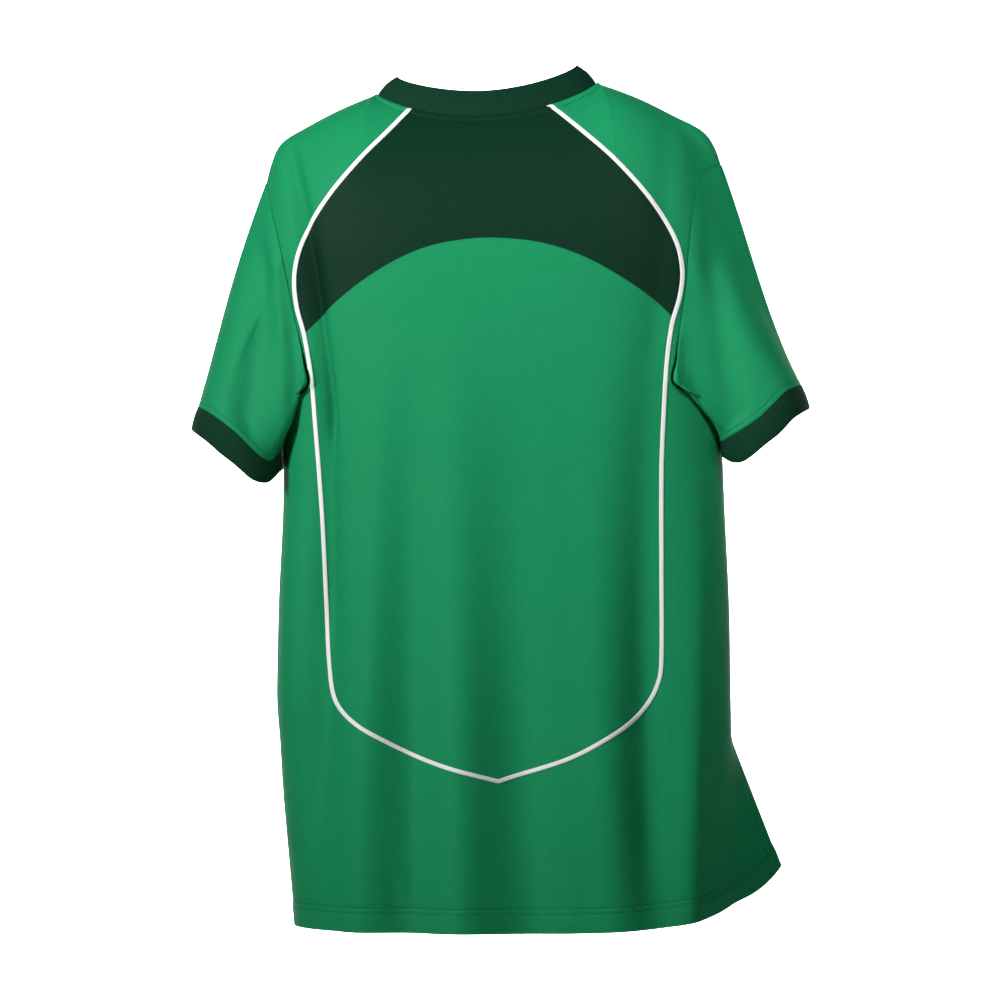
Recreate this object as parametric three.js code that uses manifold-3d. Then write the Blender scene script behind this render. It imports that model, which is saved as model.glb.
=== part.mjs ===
// A football jersey, filled out as if worn, with nobody in it.
// Millimetres: +x is the wearer's left, +y the wearer's back, +z up. The origin lies between the two
// points where neck and shoulders meet, which is where a wearer's shoulders carry the shirt.
import * as THREE from "three";
import Module from "manifold-3d";

const wasm = await Module();
wasm.setup();

// Driving dimensions
const CLOTH = 1.6; // body and sleeve cloth with its surface relief
const RIB = 2.6; // folded rib knit of collar and cuffs
const SEAM_GAP = 0.3; // between neighbouring pieces
const APART = 0.5; // how far two pieces draw apart where they fold right back on each other
const LAP = 2.4; // the sleeve's seam lies this far over the body at the foot of the armhole
const ROUNDNESS = 2.4; // exponent of the body's rings: 2 is an ellipse, more is boxier
const HEM_Z = -731;
const HEM_HEIGHT = 17.6;
const HEM_FOLD = 1; // the turned-up layer
const UNDERARM_Z = -276;
const ROW_SAG = 40; // the mesh row through both underarms dips this far between them
const BLADE_Z = -150; // above this height the body closes in to the shoulders
const NECK_HALF_WIDTH = 96;
const NECK_Y = 8; // the shoulder line lies this far behind the origin
const NECK_BACK_Y = 58;
const NECK_FRONT_Y = -88;
const NECK_BACK_DROP = 27;
const NECK_FRONT_DROP = 82;
const NECK_TILT = -5 / 96; // the neck sits a little higher on the wearer's right
const NECK_BACK_SLOPE = 62; // degrees through which the back turns on its way up to the neck
const NECK_FRONT_SLOPE = 50;
const NECK_BULGE = 14; // the mesh columns pass round the neck points by this much
const BULGE_COLUMNS = 1.8;
const COLLAR_HEIGHT = 21;
const COLLAR_LEAN = 20; // degrees inward at the middle of back and front
const COLLAR_SIDE_LEAN = 47;
const COLLAR_SIDE_RISE = 0.15; // share by which the collar is higher at the sides
const COLLAR_BOW = 1.5;
const TAPE_RIDGE = 1; // neck seam allowance pressed down under its topstitching
const PIPING_WIDTH = 4;
const PIPING_THICK = 1;
const SLEEVE_CLEARANCE = 4; // between a sleeve and the body beside it
const CLEAR_FROM = UNDERARM_Z + 45; // below this height the sleeves begin to keep clear
const CLEAR_FULL = UNDERARM_Z + 14;
const PIPING_SEAM_MARGIN = 1.5; // where the armhole seam takes in the piping's side

// Mesh sizes
const NECK_COLUMN = 7; // columns from the centre line to the neck point
const EDGE_COLUMN = 14; // columns from the centre line to the side seam or armhole
const LOWER_ROWS = 11; // from the hem band to the underarm
const SLEEVE_ROWS = 8;
const FRONT = -1;
const BACK = 1;
const LEFT = 1;
const RIGHT = -1;

const COLOURS = { green: 0x18855a, rib: 0x163f2c, white: 0xeeedeb };

// One object for each row, with the columns named
function table(columns, ...rows) {
  const names = columns.split(" ");
  return rows.map((row) => Object.fromEntries(names.map((name, index) => [name, row[index]])));
}

// Smooth curve through one column of a table, over another column that rises
function smooth(rows, by, column, value) {
  const last = rows.length - 1;
  let at = 0;
  while (at < last - 1 && rows[at + 1][by] < value) at += 1;
  const slope = (index) => {
    const before = rows[Math.max(index - 1, 0)];
    const after = rows[Math.min(index + 1, last)];
    return (after[column] - before[column]) / (after[by] - before[by]);
  };
  const step = rows[at + 1][by] - rows[at][by];
  const s = THREE.MathUtils.clamp((value - rows[at][by]) / step, 0, 1);
  const bend = s * s * (3 - 2 * s);
  const start = slope(at) * step * s * (1 - s) ** 2;
  const end = slope(at + 1) * step * s * s * (s - 1);
  return rows[at][column] * (1 - bend) + rows[at + 1][column] * bend + start + end;
}

// The body's rings: how far they reach to the left, right, back and front, and where their middle is
const RINGS = table("z left right middle back front",
  [-731, 169, 218, -24, 109, 108],
  [-676, 174, 217, -21, 106, 106],
  [-605, 180, 216, -18, 102, 103],
  [-535, 183, 214.5, -16, 99, 101],
  [-450, 182, 213, -14, 98, 101],
  [-359, 178.6, 208.6, -11, 100, 105],
  [-276, 181, 206, -6, 104, 110],
  [-190, 192, 207, -2, 105, 112],
  [-150, 200, 212, 0, 104, 111]);

// The armholes, by the share of the way from the underarm up to the shoulder point
const ARMHOLES = table("share rise backLeft backRight frontLeft frontRight",
  [0, 0, 181, 206, 181, 206],
  [0.093, 0.004, 178, 202, 178, 202],
  [0.163, 0.015, 171.5, 192, 171, 191],
  [0.229, 0.045, 162, 174, 160, 173],
  [0.281, 0.09, 154, 160, 152, 158],
  [0.344, 0.18, 157, 163, 152, 158],
  [0.469, 0.35, 165.5, 168.5, 157, 161],
  [0.59, 0.52, 172.5, 172.5, 164, 167],
  [0.722, 0.7, 180, 176.5, 173, 174],
  [0.835, 0.84, 187, 181, 182, 181],
  [0.896, 0.92, 190, 184.5, 187, 187],
  [0.947, 0.97, 192, 190, 191, 194],
  [1, 1, 194, 206, 194, 206]);

// The shoulder line, by the share of the way from the neck point out to the shoulder point
const SHOULDERS = table("share leftX leftZ rightX rightZ",
  [0, 96, -3, 96, 7],
  [0.25, 131, -17.5, 132, -6],
  [0.5, 161, -33, 166, -22],
  [0.64, 176.5, -42, 181, -29],
  [0.76, 184.5, -51, 192.5, -37],
  [0.88, 190, -65, 200.5, -49],
  [1, 194, -80, 206, -64]);

// Heights of the rows below the neck seam, as a share of the way from the underarm to the neck
const NECK_ROWS = [0, 0.04, 0.08, 0.13, 0.2, 0.29, 0.39, 0.49, 0.6, 0.71, 0.81, 0.9, 0.962, 0.972,
  0.993, 1];

// The flare at the lower right corner: the side swings out and its hem lifts
const FLARE = { z: -568, y: -13, x: -218, reach: 42, spread: 24, lift: 50, liftSpread: 90 };

// Folds: each runs through three points (x at its top, middle and bottom). Height + is a ridge.
const FOLD_COLUMNS = "top bottom x1 x2 x3 width height";
const BACK_FOLDS = table(FOLD_COLUMNS,
  [-50, -720, 172, 139, 156, 13, -6.5],
  [-300, -580, 166, 166, 172, 14, 4.5],
  [-210, -860, 84, 102, 111, 17, 4.5],
  [-240, -860, 73, 66, 70, 18, -5.5],
  [-190, -860, 27, 23, 20, 22, 6],
  [-250, -860, -20, -28, -46, 24, -5.5],
  [-190, -860, -104, -98, -128, 22, 4],
  [-110, -760, -147, -138, -147, 17, -6],
  [-262, -860, -190, -179, -168, 15, 6]);
const FRONT_FOLDS = table(FOLD_COLUMNS,
  [-50, -700, 171, 140, 152, 13, -6],
  [-230, -860, 98, 110, 118, 18, 4.5],
  [-260, -860, 70, 74, 66, 19, -5],
  [-200, -860, 30, 36, 26, 21, 5.5],
  [-280, -860, -14, -18, -34, 23, -5.5],
  [-240, -860, -84, -76, -92, 22, 5],
  [-110, -740, -142, -132, -140, 18, -6],
  [-262, -860, -184, -172, -162, 16, 5]);
const SLEEVE_FOLDS = {
  left: table(FOLD_COLUMNS,
    [-60, -330, 184, 188, 198, 9, 3.5],
    [-90, -300, 198, 206, 224, 10, -4]),
  right: table(FOLD_COLUMNS,
    [-50, -290, -180, -184, -206, 9, 3],
    [-70, -300, -192, -205, -236, 11, -5],
    [-100, -290, -206, -226, -262, 12, 3.5]),
};

// Cuff rings: centre, reach from the middle to the outer side, depth to front and back, tilt.
// Fullness says how far the sleeve follows the shoulder's slope before it turns to the cuff, and
// bow how far its outer side stands out between the two.
const CUFFS = {
  left: {
    seam: { x: 215.5, z: -296, reach: 43, depth: 66, tilt: 26.6, drop: "leftSeam" },
    end: { x: 218.5, z: -312.7, reach: 44.6, depth: 67, tilt: 21.4, drop: "leftEnd" },
    fullness: 0.4,
    bow: 5.5,
  },
  right: {
    seam: { x: -237, z: -285, reach: 48, depth: 67, tilt: 35, drop: "rightSeam" },
    end: { x: -242, z: -296.8, reach: 46.2, depth: 68, tilt: 24.6, drop: "rightEnd" },
    fullness: 0.4,
    bow: 0,
  },
};
const FRONT_DROP = 0.6;

// How far the rings hang below their plane at the back, from the underarm (-1) to the outer side
// (1). The front hangs by FRONT_DROP of that.
const CUFF_DROP = table("across leftSeam leftEnd rightSeam rightEnd",
  [-1, 0, 0, 0, 0], [-0.84, 8.5, 11.5, 1, 9.5], [-0.7, 16, 19, 1.5, 15.5], [-0.5, 16, 22, 2, 19],
  [-0.3, 12.5, 21, 2.3, 17.5], [0, 6.5, 15, 1.8, 13], [0.3, 3, 10.5, -1.2, 9], [0.6, 0.7, 5, -4, 2],
  [1, 0, 0, 0, 0]);

// The piping's centre line on the back, from the neck down to the point in the middle
const PIPING = {
  left: table("x z",
    [70, -17], [87, -38], [112, -64], [141, -99], [160, -134], [166.5, -163], [165, -190],
    [158.5, -215], [152.5, -250], [149, -290], [143, -370], [139, -450], [136, -505], [131, -532],
    [117, -549], [91, -565], [55, -582], [-10, -601]),
  right: table("x z",
    [-53, -14], [-81, -38], [-111, -65], [-142, -100], [-163, -134], [-169, -160], [-167, -182],
    [-160, -207], [-155.5, -240], [-153, -280], [-151, -330], [-151, -420], [-151, -497],
    [-149, -514], [-141, -532], [-126, -549], [-102, -565], [-69, -582], [-10, -601]),
};

const blend = THREE.MathUtils.lerp;
const ease = THREE.MathUtils.smoothstep;
const sideName = (side) => (side === LEFT ? "left" : "right");

function ring(z) {
  const size = (column) => smooth(RINGS, "z", column, THREE.MathUtils.clamp(z, HEM_Z, BLADE_Z));
  return { left: size("left"), right: size("right"), middle: size("middle"),
    back: size("back"), front: size("front") };
}

// Half width of a ring on the side where x lies
function halfWidth(shape, x) {
  return x > shape.middle ? shape.left - shape.middle : shape.right + shape.middle;
}

// Distance of the ring's surface behind (or before) the origin at x
function ringDepth(shape, x, face) {
  const across = Math.min(Math.abs(x - shape.middle) / halfWidth(shape, x), 1);
  const depth = face === BACK ? shape.back : shape.front;
  return face * depth * (1 - across ** ROUNDNESS) ** (1 / ROUNDNESS);
}

// The point where a column ends at the top: on the neck seam or on the shoulder line
function topPoint(column, side, face) {
  if (column > NECK_COLUMN) {
    const share = (column - NECK_COLUMN) / (EDGE_COLUMN - NECK_COLUMN);
    const x = side * smooth(SHOULDERS, "share", `${sideName(side)}X`, share);
    return new THREE.Vector3(x, NECK_Y, smooth(SHOULDERS, "share", `${sideName(side)}Z`, share));
  }
  const angle = (column / NECK_COLUMN) * (Math.PI / 2);
  const x = side * NECK_HALF_WIDTH * Math.sin(angle);
  const reach = face === BACK ? NECK_BACK_Y : NECK_FRONT_Y;
  const drop = face === BACK ? NECK_BACK_DROP : NECK_FRONT_DROP;
  const y = blend(NECK_Y, reach, Math.cos(angle));
  return new THREE.Vector3(x, y, 2 + NECK_TILT * x - drop * Math.cos(angle) ** 1.5);
}

// How directly a column ends at the top: 90 degrees rounds over flat, less stays steep
function topAngle(column, face) {
  const middle = face === BACK ? NECK_BACK_SLOPE : NECK_FRONT_SLOPE;
  return THREE.MathUtils.degToRad(blend(middle, 90, ease(column, 3, NECK_COLUMN + 1)));
}

function bodyDepth(x, z, column, side, face) {
  const flat = ringDepth(ring(z), x, face);
  if (z <= BLADE_Z) return flat;
  const top = topPoint(column, side, face);
  const limit = topAngle(column, face);
  const share = THREE.MathUtils.clamp((z - BLADE_Z) / (top.z - BLADE_Z), 0, 1);
  const angle = Math.asin(share * Math.sin(limit));
  return blend(top.y, flat, (Math.cos(angle) - Math.cos(limit)) / (1 - Math.cos(limit)));
}

// Height of the mesh row that runs through both underarms
function footZ(column) {
  return UNDERARM_Z - ROW_SAG * (1 - (column / EDGE_COLUMN) ** 3);
}

// A point of the body above the underarm. share runs from 0 there to 1 on the top edge.
function upperPoint(column, side, face, share) {
  const edgeName = (face === BACK ? "back" : "front") + (side === LEFT ? "Left" : "Right");
  const edgeX = side * smooth(ARMHOLES, "share", edgeName, share);
  const rise = smooth(ARMHOLES, "share", "rise", share);
  const shoulder = topPoint(EDGE_COLUMN, side, face);
  const edgeShape = ring(blend(UNDERARM_Z, shoulder.z, rise));
  const across = Math.min(Math.abs(edgeX - edgeShape.middle) / halfWidth(edgeShape, edgeX), 1);
  const edgeAngle = Math.asin(across ** (ROUNDNESS / 2));
  const out = column / EDGE_COLUMN;
  const turn = (out * Math.PI) / 2 - (Math.PI / 2 - edgeAngle) * out ** 1.5;
  const low = Math.sin(turn) ** (2 / ROUNDNESS) / across;
  const top = topPoint(column, side, face);
  const middle = edgeShape.middle * (1 - share);
  const aside = side * NECK_BULGE * Math.sqrt(1 - share) * ease(share, 0, 0.6);
  const nearNeck = Math.exp(-(((column - NECK_COLUMN) / BULGE_COLUMNS) ** 2));
  const high = top.x * blend(1, edgeX / shoulder.x, ease(out, 0.6, 0.93));
  const x = blend(middle + low * (edgeX - middle), high, ease(share, 0, 1)) + aside * nearNeck;
  const neckRow = share * (NECK_ROWS.length - 1);
  const below = Math.min(Math.floor(neckRow), NECK_ROWS.length - 2);
  const neckRise = blend(NECK_ROWS[below], NECK_ROWS[below + 1], neckRow - below);
  const z = blend(footZ(column), top.z, blend(neckRise, rise, out ** 4));
  if (share === 1) return top;
  return new THREE.Vector3(x, bodyDepth(x, z, column, side, face), z);
}

function lowerPoint(column, side, face, z) {
  const shape = ring(z);
  const turn = (column / EDGE_COLUMN) * (Math.PI / 2);
  const half = side === LEFT ? shape.left - shape.middle : shape.right + shape.middle;
  const depth = face === BACK ? shape.back : shape.front;
  const x = shape.middle + side * half * Math.sin(turn) ** (2 / ROUNDNESS);
  const y = column === EDGE_COLUMN ? 0 : face * depth * Math.cos(turn) ** (2 / ROUNDNESS);
  return flare(new THREE.Vector3(x, y, z));
}

function flare(point) {
  if (point.x > 0 || point.z > FLARE.z) return point;
  const below = (FLARE.z - point.z) / (FLARE.z - HEM_Z);
  const away = Math.hypot(point.x - FLARE.x, point.y - FLARE.y);
  const out = Math.exp(-(((point.y - FLARE.y) / FLARE.spread) ** 2));
  const near = blend(Math.exp(-((away / FLARE.liftSpread) ** 2)), out ** 2, 0.5);
  const z = point.z + FLARE.lift * below ** 1.5 * near;
  const share = THREE.MathUtils.clamp((FLARE.z - z) / (FLARE.z - HEM_Z - FLARE.lift), 0, 1);
  return new THREE.Vector3(point.x - FLARE.reach * share * out, point.y, z);
}

// Height of all folds of a table at x and z
function foldHeight(folds, x, z) {
  let height = 0;
  for (const fold of folds) {
    const share = (fold.top - z) / (fold.top - fold.bottom);
    if (share <= 0 || share >= 1) continue;
    const bow = 4 * share * (1 - share) * (fold.x2 - (fold.x1 + fold.x3) / 2);
    const centre = blend(fold.x1, fold.x3, share) + bow;
    const fade = ease(share, 0, 0.3) * (1 - ease(share, 0.8, 1));
    height += fold.height * fade * Math.exp(-(((x - centre) / fold.width) ** 2));
  }
  return height;
}

// Panels: each is a grid of points, row by row
function makeBodyPanel(face) {
  const bandTop = HEM_Z + HEM_HEIGHT;
  const lower = [() => HEM_Z, () => HEM_Z + HEM_HEIGHT / 2, () => bandTop];
  for (let row = 0; row < LOWER_ROWS; row += 1) {
    lower.push((column) => blend(bandTop + 1.5, footZ(column), row / LOWER_ROWS));
  }
  const upperRows = NECK_ROWS.length - 1;
  const columns = [];
  for (let column = -EDGE_COLUMN; column <= EDGE_COLUMN; column += 1) columns.push(column);
  const grid = lower.map((height) => columns.map((column) => lowerPoint(
    Math.abs(column), column < 0 ? RIGHT : LEFT, face, height(Math.abs(column)))));
  for (let row = 0; row <= upperRows; row += 1) {
    grid.push(columns.map((column) => upperPoint(
      Math.abs(column), column < 0 ? RIGHT : LEFT, face, row / upperRows)));
  }
  const folds = face === BACK ? BACK_FOLDS : FRONT_FOLDS;
  const relief = grid.map((points, row) => points.map((point, index) => {
    const column = Math.abs(columns[index]);
    const edge = 1 - ease(column, EDGE_COLUMN - 1, EDGE_COLUMN);
    const nearNeck = 1 - ease(row, grid.length - 7, grid.length - 4);
    const band = row <= 2 ? HEM_FOLD : 0;
    const ridgeRow = row === grid.length - 3 || row === grid.length - 2;
    const ridge = ridgeRow ? TAPE_RIDGE * (1 - ease(column, NECK_COLUMN - 2, NECK_COLUMN)) : 0;
    return foldHeight(folds, point.x, point.z) * edge * nearNeck + band + ridge;
  }));
  return { grid, relief, closed: false, wall: CLOTH };
}

// The armhole's ring of points, or one some columns inside it: down the back, then up the front
function armholeRing(back, front, side, inside = 0) {
  const index = side === LEFT ? 2 * EDGE_COLUMN - inside : inside;
  const from = back.grid.length - NECK_ROWS.length;
  const ringOf = (panel) => panel.grid.slice(from).map((row) => row[index]);
  return [...ringOf(back).reverse(), ...ringOf(front).slice(1, -1)];
}

function cuffPoint(shape, side, turn) {
  const tilt = THREE.MathUtils.degToRad(shape.tilt);
  const across = Math.sign(Math.cos(turn)) * Math.abs(Math.cos(turn)) ** 0.9;
  const out = shape.reach * across;
  const y = shape.depth * Math.sign(Math.sin(turn)) * Math.abs(Math.sin(turn)) ** 0.9;
  const drop = smooth(CUFF_DROP, "across", shape.drop, across) * (y < 0 ? FRONT_DROP : 1);
  return new THREE.Vector3(
    shape.x + side * out * Math.cos(tilt), y, shape.z + out * Math.sin(tilt) - drop);
}

// Moves a sleeve's point out to its clearance from the body, whose folds count too
function clearBody(point) {
  const face = point.y > 0 ? BACK : FRONT;
  const shape = ring(point.z);
  const folds = face === BACK ? BACK_FOLDS : FRONT_FOLDS;
  const gap = SLEEVE_CLEARANCE + Math.max(foldHeight(folds, point.x, point.z), 0);
  const half = halfWidth(shape, point.x) + gap;
  const depth = (face === BACK ? shape.back : shape.front) + gap;
  const across = Math.abs(point.x - shape.middle) / half;
  const away = (across ** ROUNDNESS + (Math.abs(point.y) / depth) ** ROUNDNESS) ** (1 / ROUNDNESS);
  const belowArmhole = 1 - ease(point.z, CLEAR_FULL, CLEAR_FROM);
  if (away >= 1 || belowArmhole === 0) return point;
  const stretch = blend(1, 1 / away, belowArmhole);
  return new THREE.Vector3(
    shape.middle + (point.x - shape.middle) * stretch, point.y * stretch, point.z);
}

// How far a sleeve's seam lies over the body's edge: it laps it at the foot of the armhole
function seamLift(at, count) {
  const share = Math.abs(1 - (2 * at) / count);
  return LAP * (0.4 + 0.6 * ease(share, 0, 0.12) - ease(share, 0.36, 0.48));
}

// A sleeve leaves the armhole partly along the shoulder's line and partly straight for the cuff
function makeSleeve(back, front, side) {
  const start = armholeRing(back, front, side);
  const edgeNormals = armholeRing(
    { grid: panelNormals(back) }, { grid: panelNormals(front) }, side);
  const { seam: shape, fullness, bow } = CUFFS[sideName(side)];
  const insideRing = armholeRing(back, front, side, 1);
  const turns = start.map((point, at) => (at / start.length) * 2 * Math.PI);
  const grid = [];
  for (let row = 0; row <= SLEEVE_ROWS; row += 1) {
    const s = row / SLEEVE_ROWS;
    grid.push(start.map((from, at) => {
      if (row === 0) return from.clone();
      const to = cuffPoint(shape, side, turns[at]);
      const length = from.distanceTo(to);
      const along = from.clone().sub(insideRing[at]).normalize();
      const straight = to.clone().sub(from).normalize();
      const tilt = THREE.MathUtils.degToRad(shape.tilt);
      const endway = new THREE.Vector3(side * Math.sin(tilt), 0, -Math.cos(tilt));
      const leave = along.multiplyScalar(fullness * length).addScaledVector(straight, 0.65 * length);
      const arrive = straight.multiplyScalar(0.5).addScaledVector(endway, 0.5);
      const bend = s * s * (3 - 2 * s);
      const point = from.clone().multiplyScalar(1 - bend).addScaledVector(to, bend);
      point.addScaledVector(leave, s * (1 - s) ** 2);
      point.addScaledVector(arrive, length * s * s * (s - 1));
      point.x += side * bow * Math.sin(Math.PI * s) * Math.max(Math.cos(turns[at]), 0);
      return clearBody(point);
    }));
  }
  const relief = grid.map((points, row) => points.map((point) => {
    const share = row / SLEEVE_ROWS;
    const fade = ease(share, 0, 0.2) * (1 - ease(share, 0.85, 1));
    const height = foldHeight(SLEEVE_FOLDS[sideName(side)], point.x, point.z);
    return (point.y > 0 ? height : -0.7 * height) * fade * ease(Math.abs(point.y), 5, 25);
  }));
  const laps = start.map((point, at) => {
    const lift = seamLift(at, start.length);
    return { place: placeKey(point), share: lift / LAP, lift: edgeNormals[at].multiplyScalar(lift) };
  });
  return { grid, relief, closed: true, wall: CLOTH, laps };
}

function makeCuff(sleeve, side) {
  const rows = 3;
  const top = sleeve.grid[SLEEVE_ROWS];
  const shape = CUFFS[sideName(side)].end;
  const grid = [];
  for (let row = 0; row <= rows; row += 1) {
    grid.push(top.map((from, at) => {
      const to = cuffPoint(shape, side, (at / top.length) * 2 * Math.PI);
      const point = from.clone().lerp(to, row / rows);
      return row === 0 ? point : clearBody(point);
    }));
  }
  return { grid, relief: null, closed: true, wall: RIB };
}

function makeCollar(back, front) {
  const seamOf = (panel) => panel.grid[panel.grid.length - 1].slice(
    EDGE_COLUMN - NECK_COLUMN, EDGE_COLUMN + NECK_COLUMN + 1);
  const seam = [...seamOf(back), ...seamOf(front).reverse().slice(1, -1)];
  const rows = 4;
  const grid = [];
  for (let row = 0; row <= rows; row += 1) {
    const share = row / rows;
    grid.push(seam.map((from) => {
      const aside = Math.abs(from.x) / NECK_HALF_WIDTH;
      const lean = THREE.MathUtils.degToRad(blend(COLLAR_LEAN, COLLAR_SIDE_LEAN, aside ** 3));
      const inward = new THREE.Vector3(-from.x, NECK_Y - from.y, 0).normalize();
      const rise = COLLAR_HEIGHT * (1 + COLLAR_SIDE_RISE * aside ** 3);
      const bow = Math.sin(share * Math.PI) * COLLAR_BOW;
      return from.clone()
        .addScaledVector(inward, rise * share * Math.sin(lean) - bow * Math.cos(lean))
        .add(new THREE.Vector3(0, 0, rise * share * Math.cos(lean) + bow * Math.sin(lean)));
    }));
  }
  return { grid, relief: null, closed: true, wall: RIB };
}

// Outward normals of a panel's points, from its own faces
function panelNormals(panel) {
  const { grid, closed } = panel;
  const width = grid[0].length;
  const normals = grid.map((row) => row.map(() => new THREE.Vector3()));
  for (let row = 0; row + 1 < grid.length; row += 1) {
    for (let column = 0; column + (closed ? 0 : 1) < width; column += 1) {
      const next = (column + 1) % width;
      const across = grid[row + 1][next].clone().sub(grid[row][column]);
      const other = grid[row + 1][column].clone().sub(grid[row][next]);
      const normal = across.cross(other);
      for (const [r, c] of [[row, column], [row, next], [row + 1, column], [row + 1, next]]) {
        normals[r][c].add(normal);
      }
    }
  }
  let outward = 0;
  grid.forEach((points, row) => {
    const centre = points.reduce((sum, point) => sum.add(point), new THREE.Vector3());
    centre.divideScalar(points.length);
    points.forEach((point, column) => {
      normals[row][column].normalize();
      outward += normals[row][column].dot(point.clone().sub(centre));
    });
  });
  const sign = Math.sign(outward);
  normals.forEach((row) => row.forEach((normal) => normal.multiplyScalar(sign)));
  return normals;
}

const placeKey = (point) => point.toArray().map((value) => Math.round(value * 100)).join(",");

function eachPoint(panels, visit) {
  panels.forEach((panel, index) => panel.grid.forEach((points, row) => {
    points.forEach((point, column) => visit(point, panel, index, row, column));
  }));
}

// Neighbours share the points of a seam, so they share its normals too
function sharedNormals(panels) {
  const own = panels.map(panelNormals);
  const sums = new Map();
  eachPoint(panels, (point, panel, index, row, column) => {
    const key = placeKey(point);
    if (!sums.has(key)) sums.set(key, new THREE.Vector3());
    sums.get(key).add(own[index][row][column]);
  });
  const shared = panels.map((panel) => panel.grid.map(
    (points) => points.map((point) => sums.get(placeKey(point)).clone().normalize())));
  return { own, shared };
}

// Where a sleeve laps the body, each keeps its own normals and the sleeve lies on the outside
function lapSleeves(panels, own, shared) {
  const laps = new Map(panels.flatMap((panel) => panel.laps ?? []).map((lap) => [lap.place, lap]));
  eachPoint(panels, (point, panel, index, row, column) => {
    const lap = laps.get(placeKey(point));
    if (!lap) return;
    shared[index][row][column].lerp(own[index][row][column], lap.share).normalize();
    if (panel.laps && row === 0) point.add(lap.lift);
  });
}

function raiseRelief(panels) {
  const { shared } = sharedNormals(panels);
  eachPoint(panels, (point, panel, index, row, column) => {
    if (!panel.relief) return;
    point.addScaledVector(shared[index][row][column], panel.relief[row][column]);
  });
}

// Direction from an edge point into its panel, square to the edge
function inwardAt(panel, row, column) {
  const { grid, closed } = panel;
  const width = grid[0].length;
  const here = grid[row][column];
  const inward = new THREE.Vector3();
  const lastRow = grid.length - 1;
  const pull = (toRow, toColumn, sideA, sideB) => {
    const edge = sideA.clone().sub(sideB).normalize();
    const inside = grid[toRow][toColumn].clone().sub(here);
    inward.add(inside.addScaledVector(edge, -inside.dot(edge)).normalize());
  };
  if (row === 0 || row === lastRow) {
    const before = closed ? (column + width - 1) % width : Math.max(column - 1, 0);
    const after = closed ? (column + 1) % width : Math.min(column + 1, width - 1);
    pull(row === 0 ? 1 : lastRow - 1, column, grid[row][after], grid[row][before]);
  }
  if (!closed && (column === 0 || column === width - 1)) {
    const before = grid[Math.max(row - 1, 0)][column];
    const after = grid[Math.min(row + 1, lastRow)][column];
    pull(row, column === 0 ? 1 : width - 2, after, before);
  }
  return inward;
}

// The outer and inner points of a panel, with its edges drawn back for the seam gap
function wallLayers(panel, own, shared) {
  const outer = [];
  const inner = [];
  panel.grid.forEach((points, row) => points.forEach((point, column) => {
    const meet = own[row][column].dot(shared[row][column]);
    const back = inwardAt(panel, row, column).multiplyScalar(SEAM_GAP / 2 / Math.max(meet, 0.2));
    const apart = -APART * (1 - meet);
    const edge = point.clone().add(back).addScaledVector(own[row][column], apart);
    outer.push(edge);
    inner.push(edge.clone().addScaledVector(shared[row][column], -panel.wall / Math.max(meet, 0.6)));
  }));
  return { outer, inner };
}

// A closed solid between two layers of the same grid
function closeWall(outer, inner, rows, columns, closed) {
  const positions = [...outer, ...inner].flatMap((point) => point.toArray());
  const count = rows * columns;
  const faces = [];
  const quad = (a, b, c, d) => faces.push(a, b, c, a, c, d);
  const spans = closed ? columns : columns - 1;
  const place = (index) => outer[index].z + 0.37 * outer[index].x + 0.11 * outer[index].y;
  // The edge's face is split from its lower corner, so facing edges are split alike
  const edge = (from, to) => {
    if (place(from) < place(to)) quad(from, to, to + count, from + count);
    else quad(to, to + count, from + count, from);
  };
  for (let row = 0; row + 1 < rows; row += 1) {
    for (let column = 0; column < spans; column += 1) {
      const next = (column + 1) % columns;
      const [a, b, c, d] = [row * columns + column, row * columns + next,
        (row + 1) * columns + next, (row + 1) * columns + column];
      quad(a, b, c, d);
      quad(c + count, b + count, a + count, d + count);
    }
  }
  for (let column = 0; column < spans; column += 1) {
    const next = (column + 1) % columns;
    const top = (rows - 1) * columns;
    edge(next, column);
    edge(top + column, top + next);
  }
  for (let row = 0; !closed && row + 1 < rows; row += 1) {
    const [low, high] = [row * columns, (row + 1) * columns];
    const end = columns - 1;
    edge(low, high);
    edge(high + end, low + end);
  }
  const geometry = new THREE.BufferGeometry();
  geometry.setAttribute("position", new THREE.Float32BufferAttribute(positions, 3));
  geometry.setIndex(signedVolume(positions, faces) < 0 ? faces.reverse() : faces);
  return geometry;
}

function signedVolume(positions, faces) {
  let volume = 0;
  const corner = (index) => new THREE.Vector3().fromArray(positions, 3 * index);
  for (let at = 0; at < faces.length; at += 3) {
    volume += corner(faces[at]).dot(corner(faces[at + 1]).cross(corner(faces[at + 2]))) / 6;
  }
  return volume;
}

function addMesh(group, name, geometry, color, roughness) {
  const material = new THREE.MeshStandardMaterial({ color, roughness, metalness: 0 });
  const mesh = new THREE.Mesh(geometry, material);
  mesh.name = name;
  group.add(mesh);
}

// Where the armhole seam runs at a height, on the back
function armholeX(side, z) {
  const shoulder = topPoint(EDGE_COLUMN, side, BACK);
  const rise = (z - UNDERARM_Z) / (shoulder.z - UNDERARM_Z);
  const rows = ARMHOLES.filter((row) => row.rise >= 0.045 && row.rise < 1);
  if (rise < rows[0].rise) return Infinity;
  return smooth(rows, "rise", side === LEFT ? "backLeft" : "backRight", rise);
}

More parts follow.
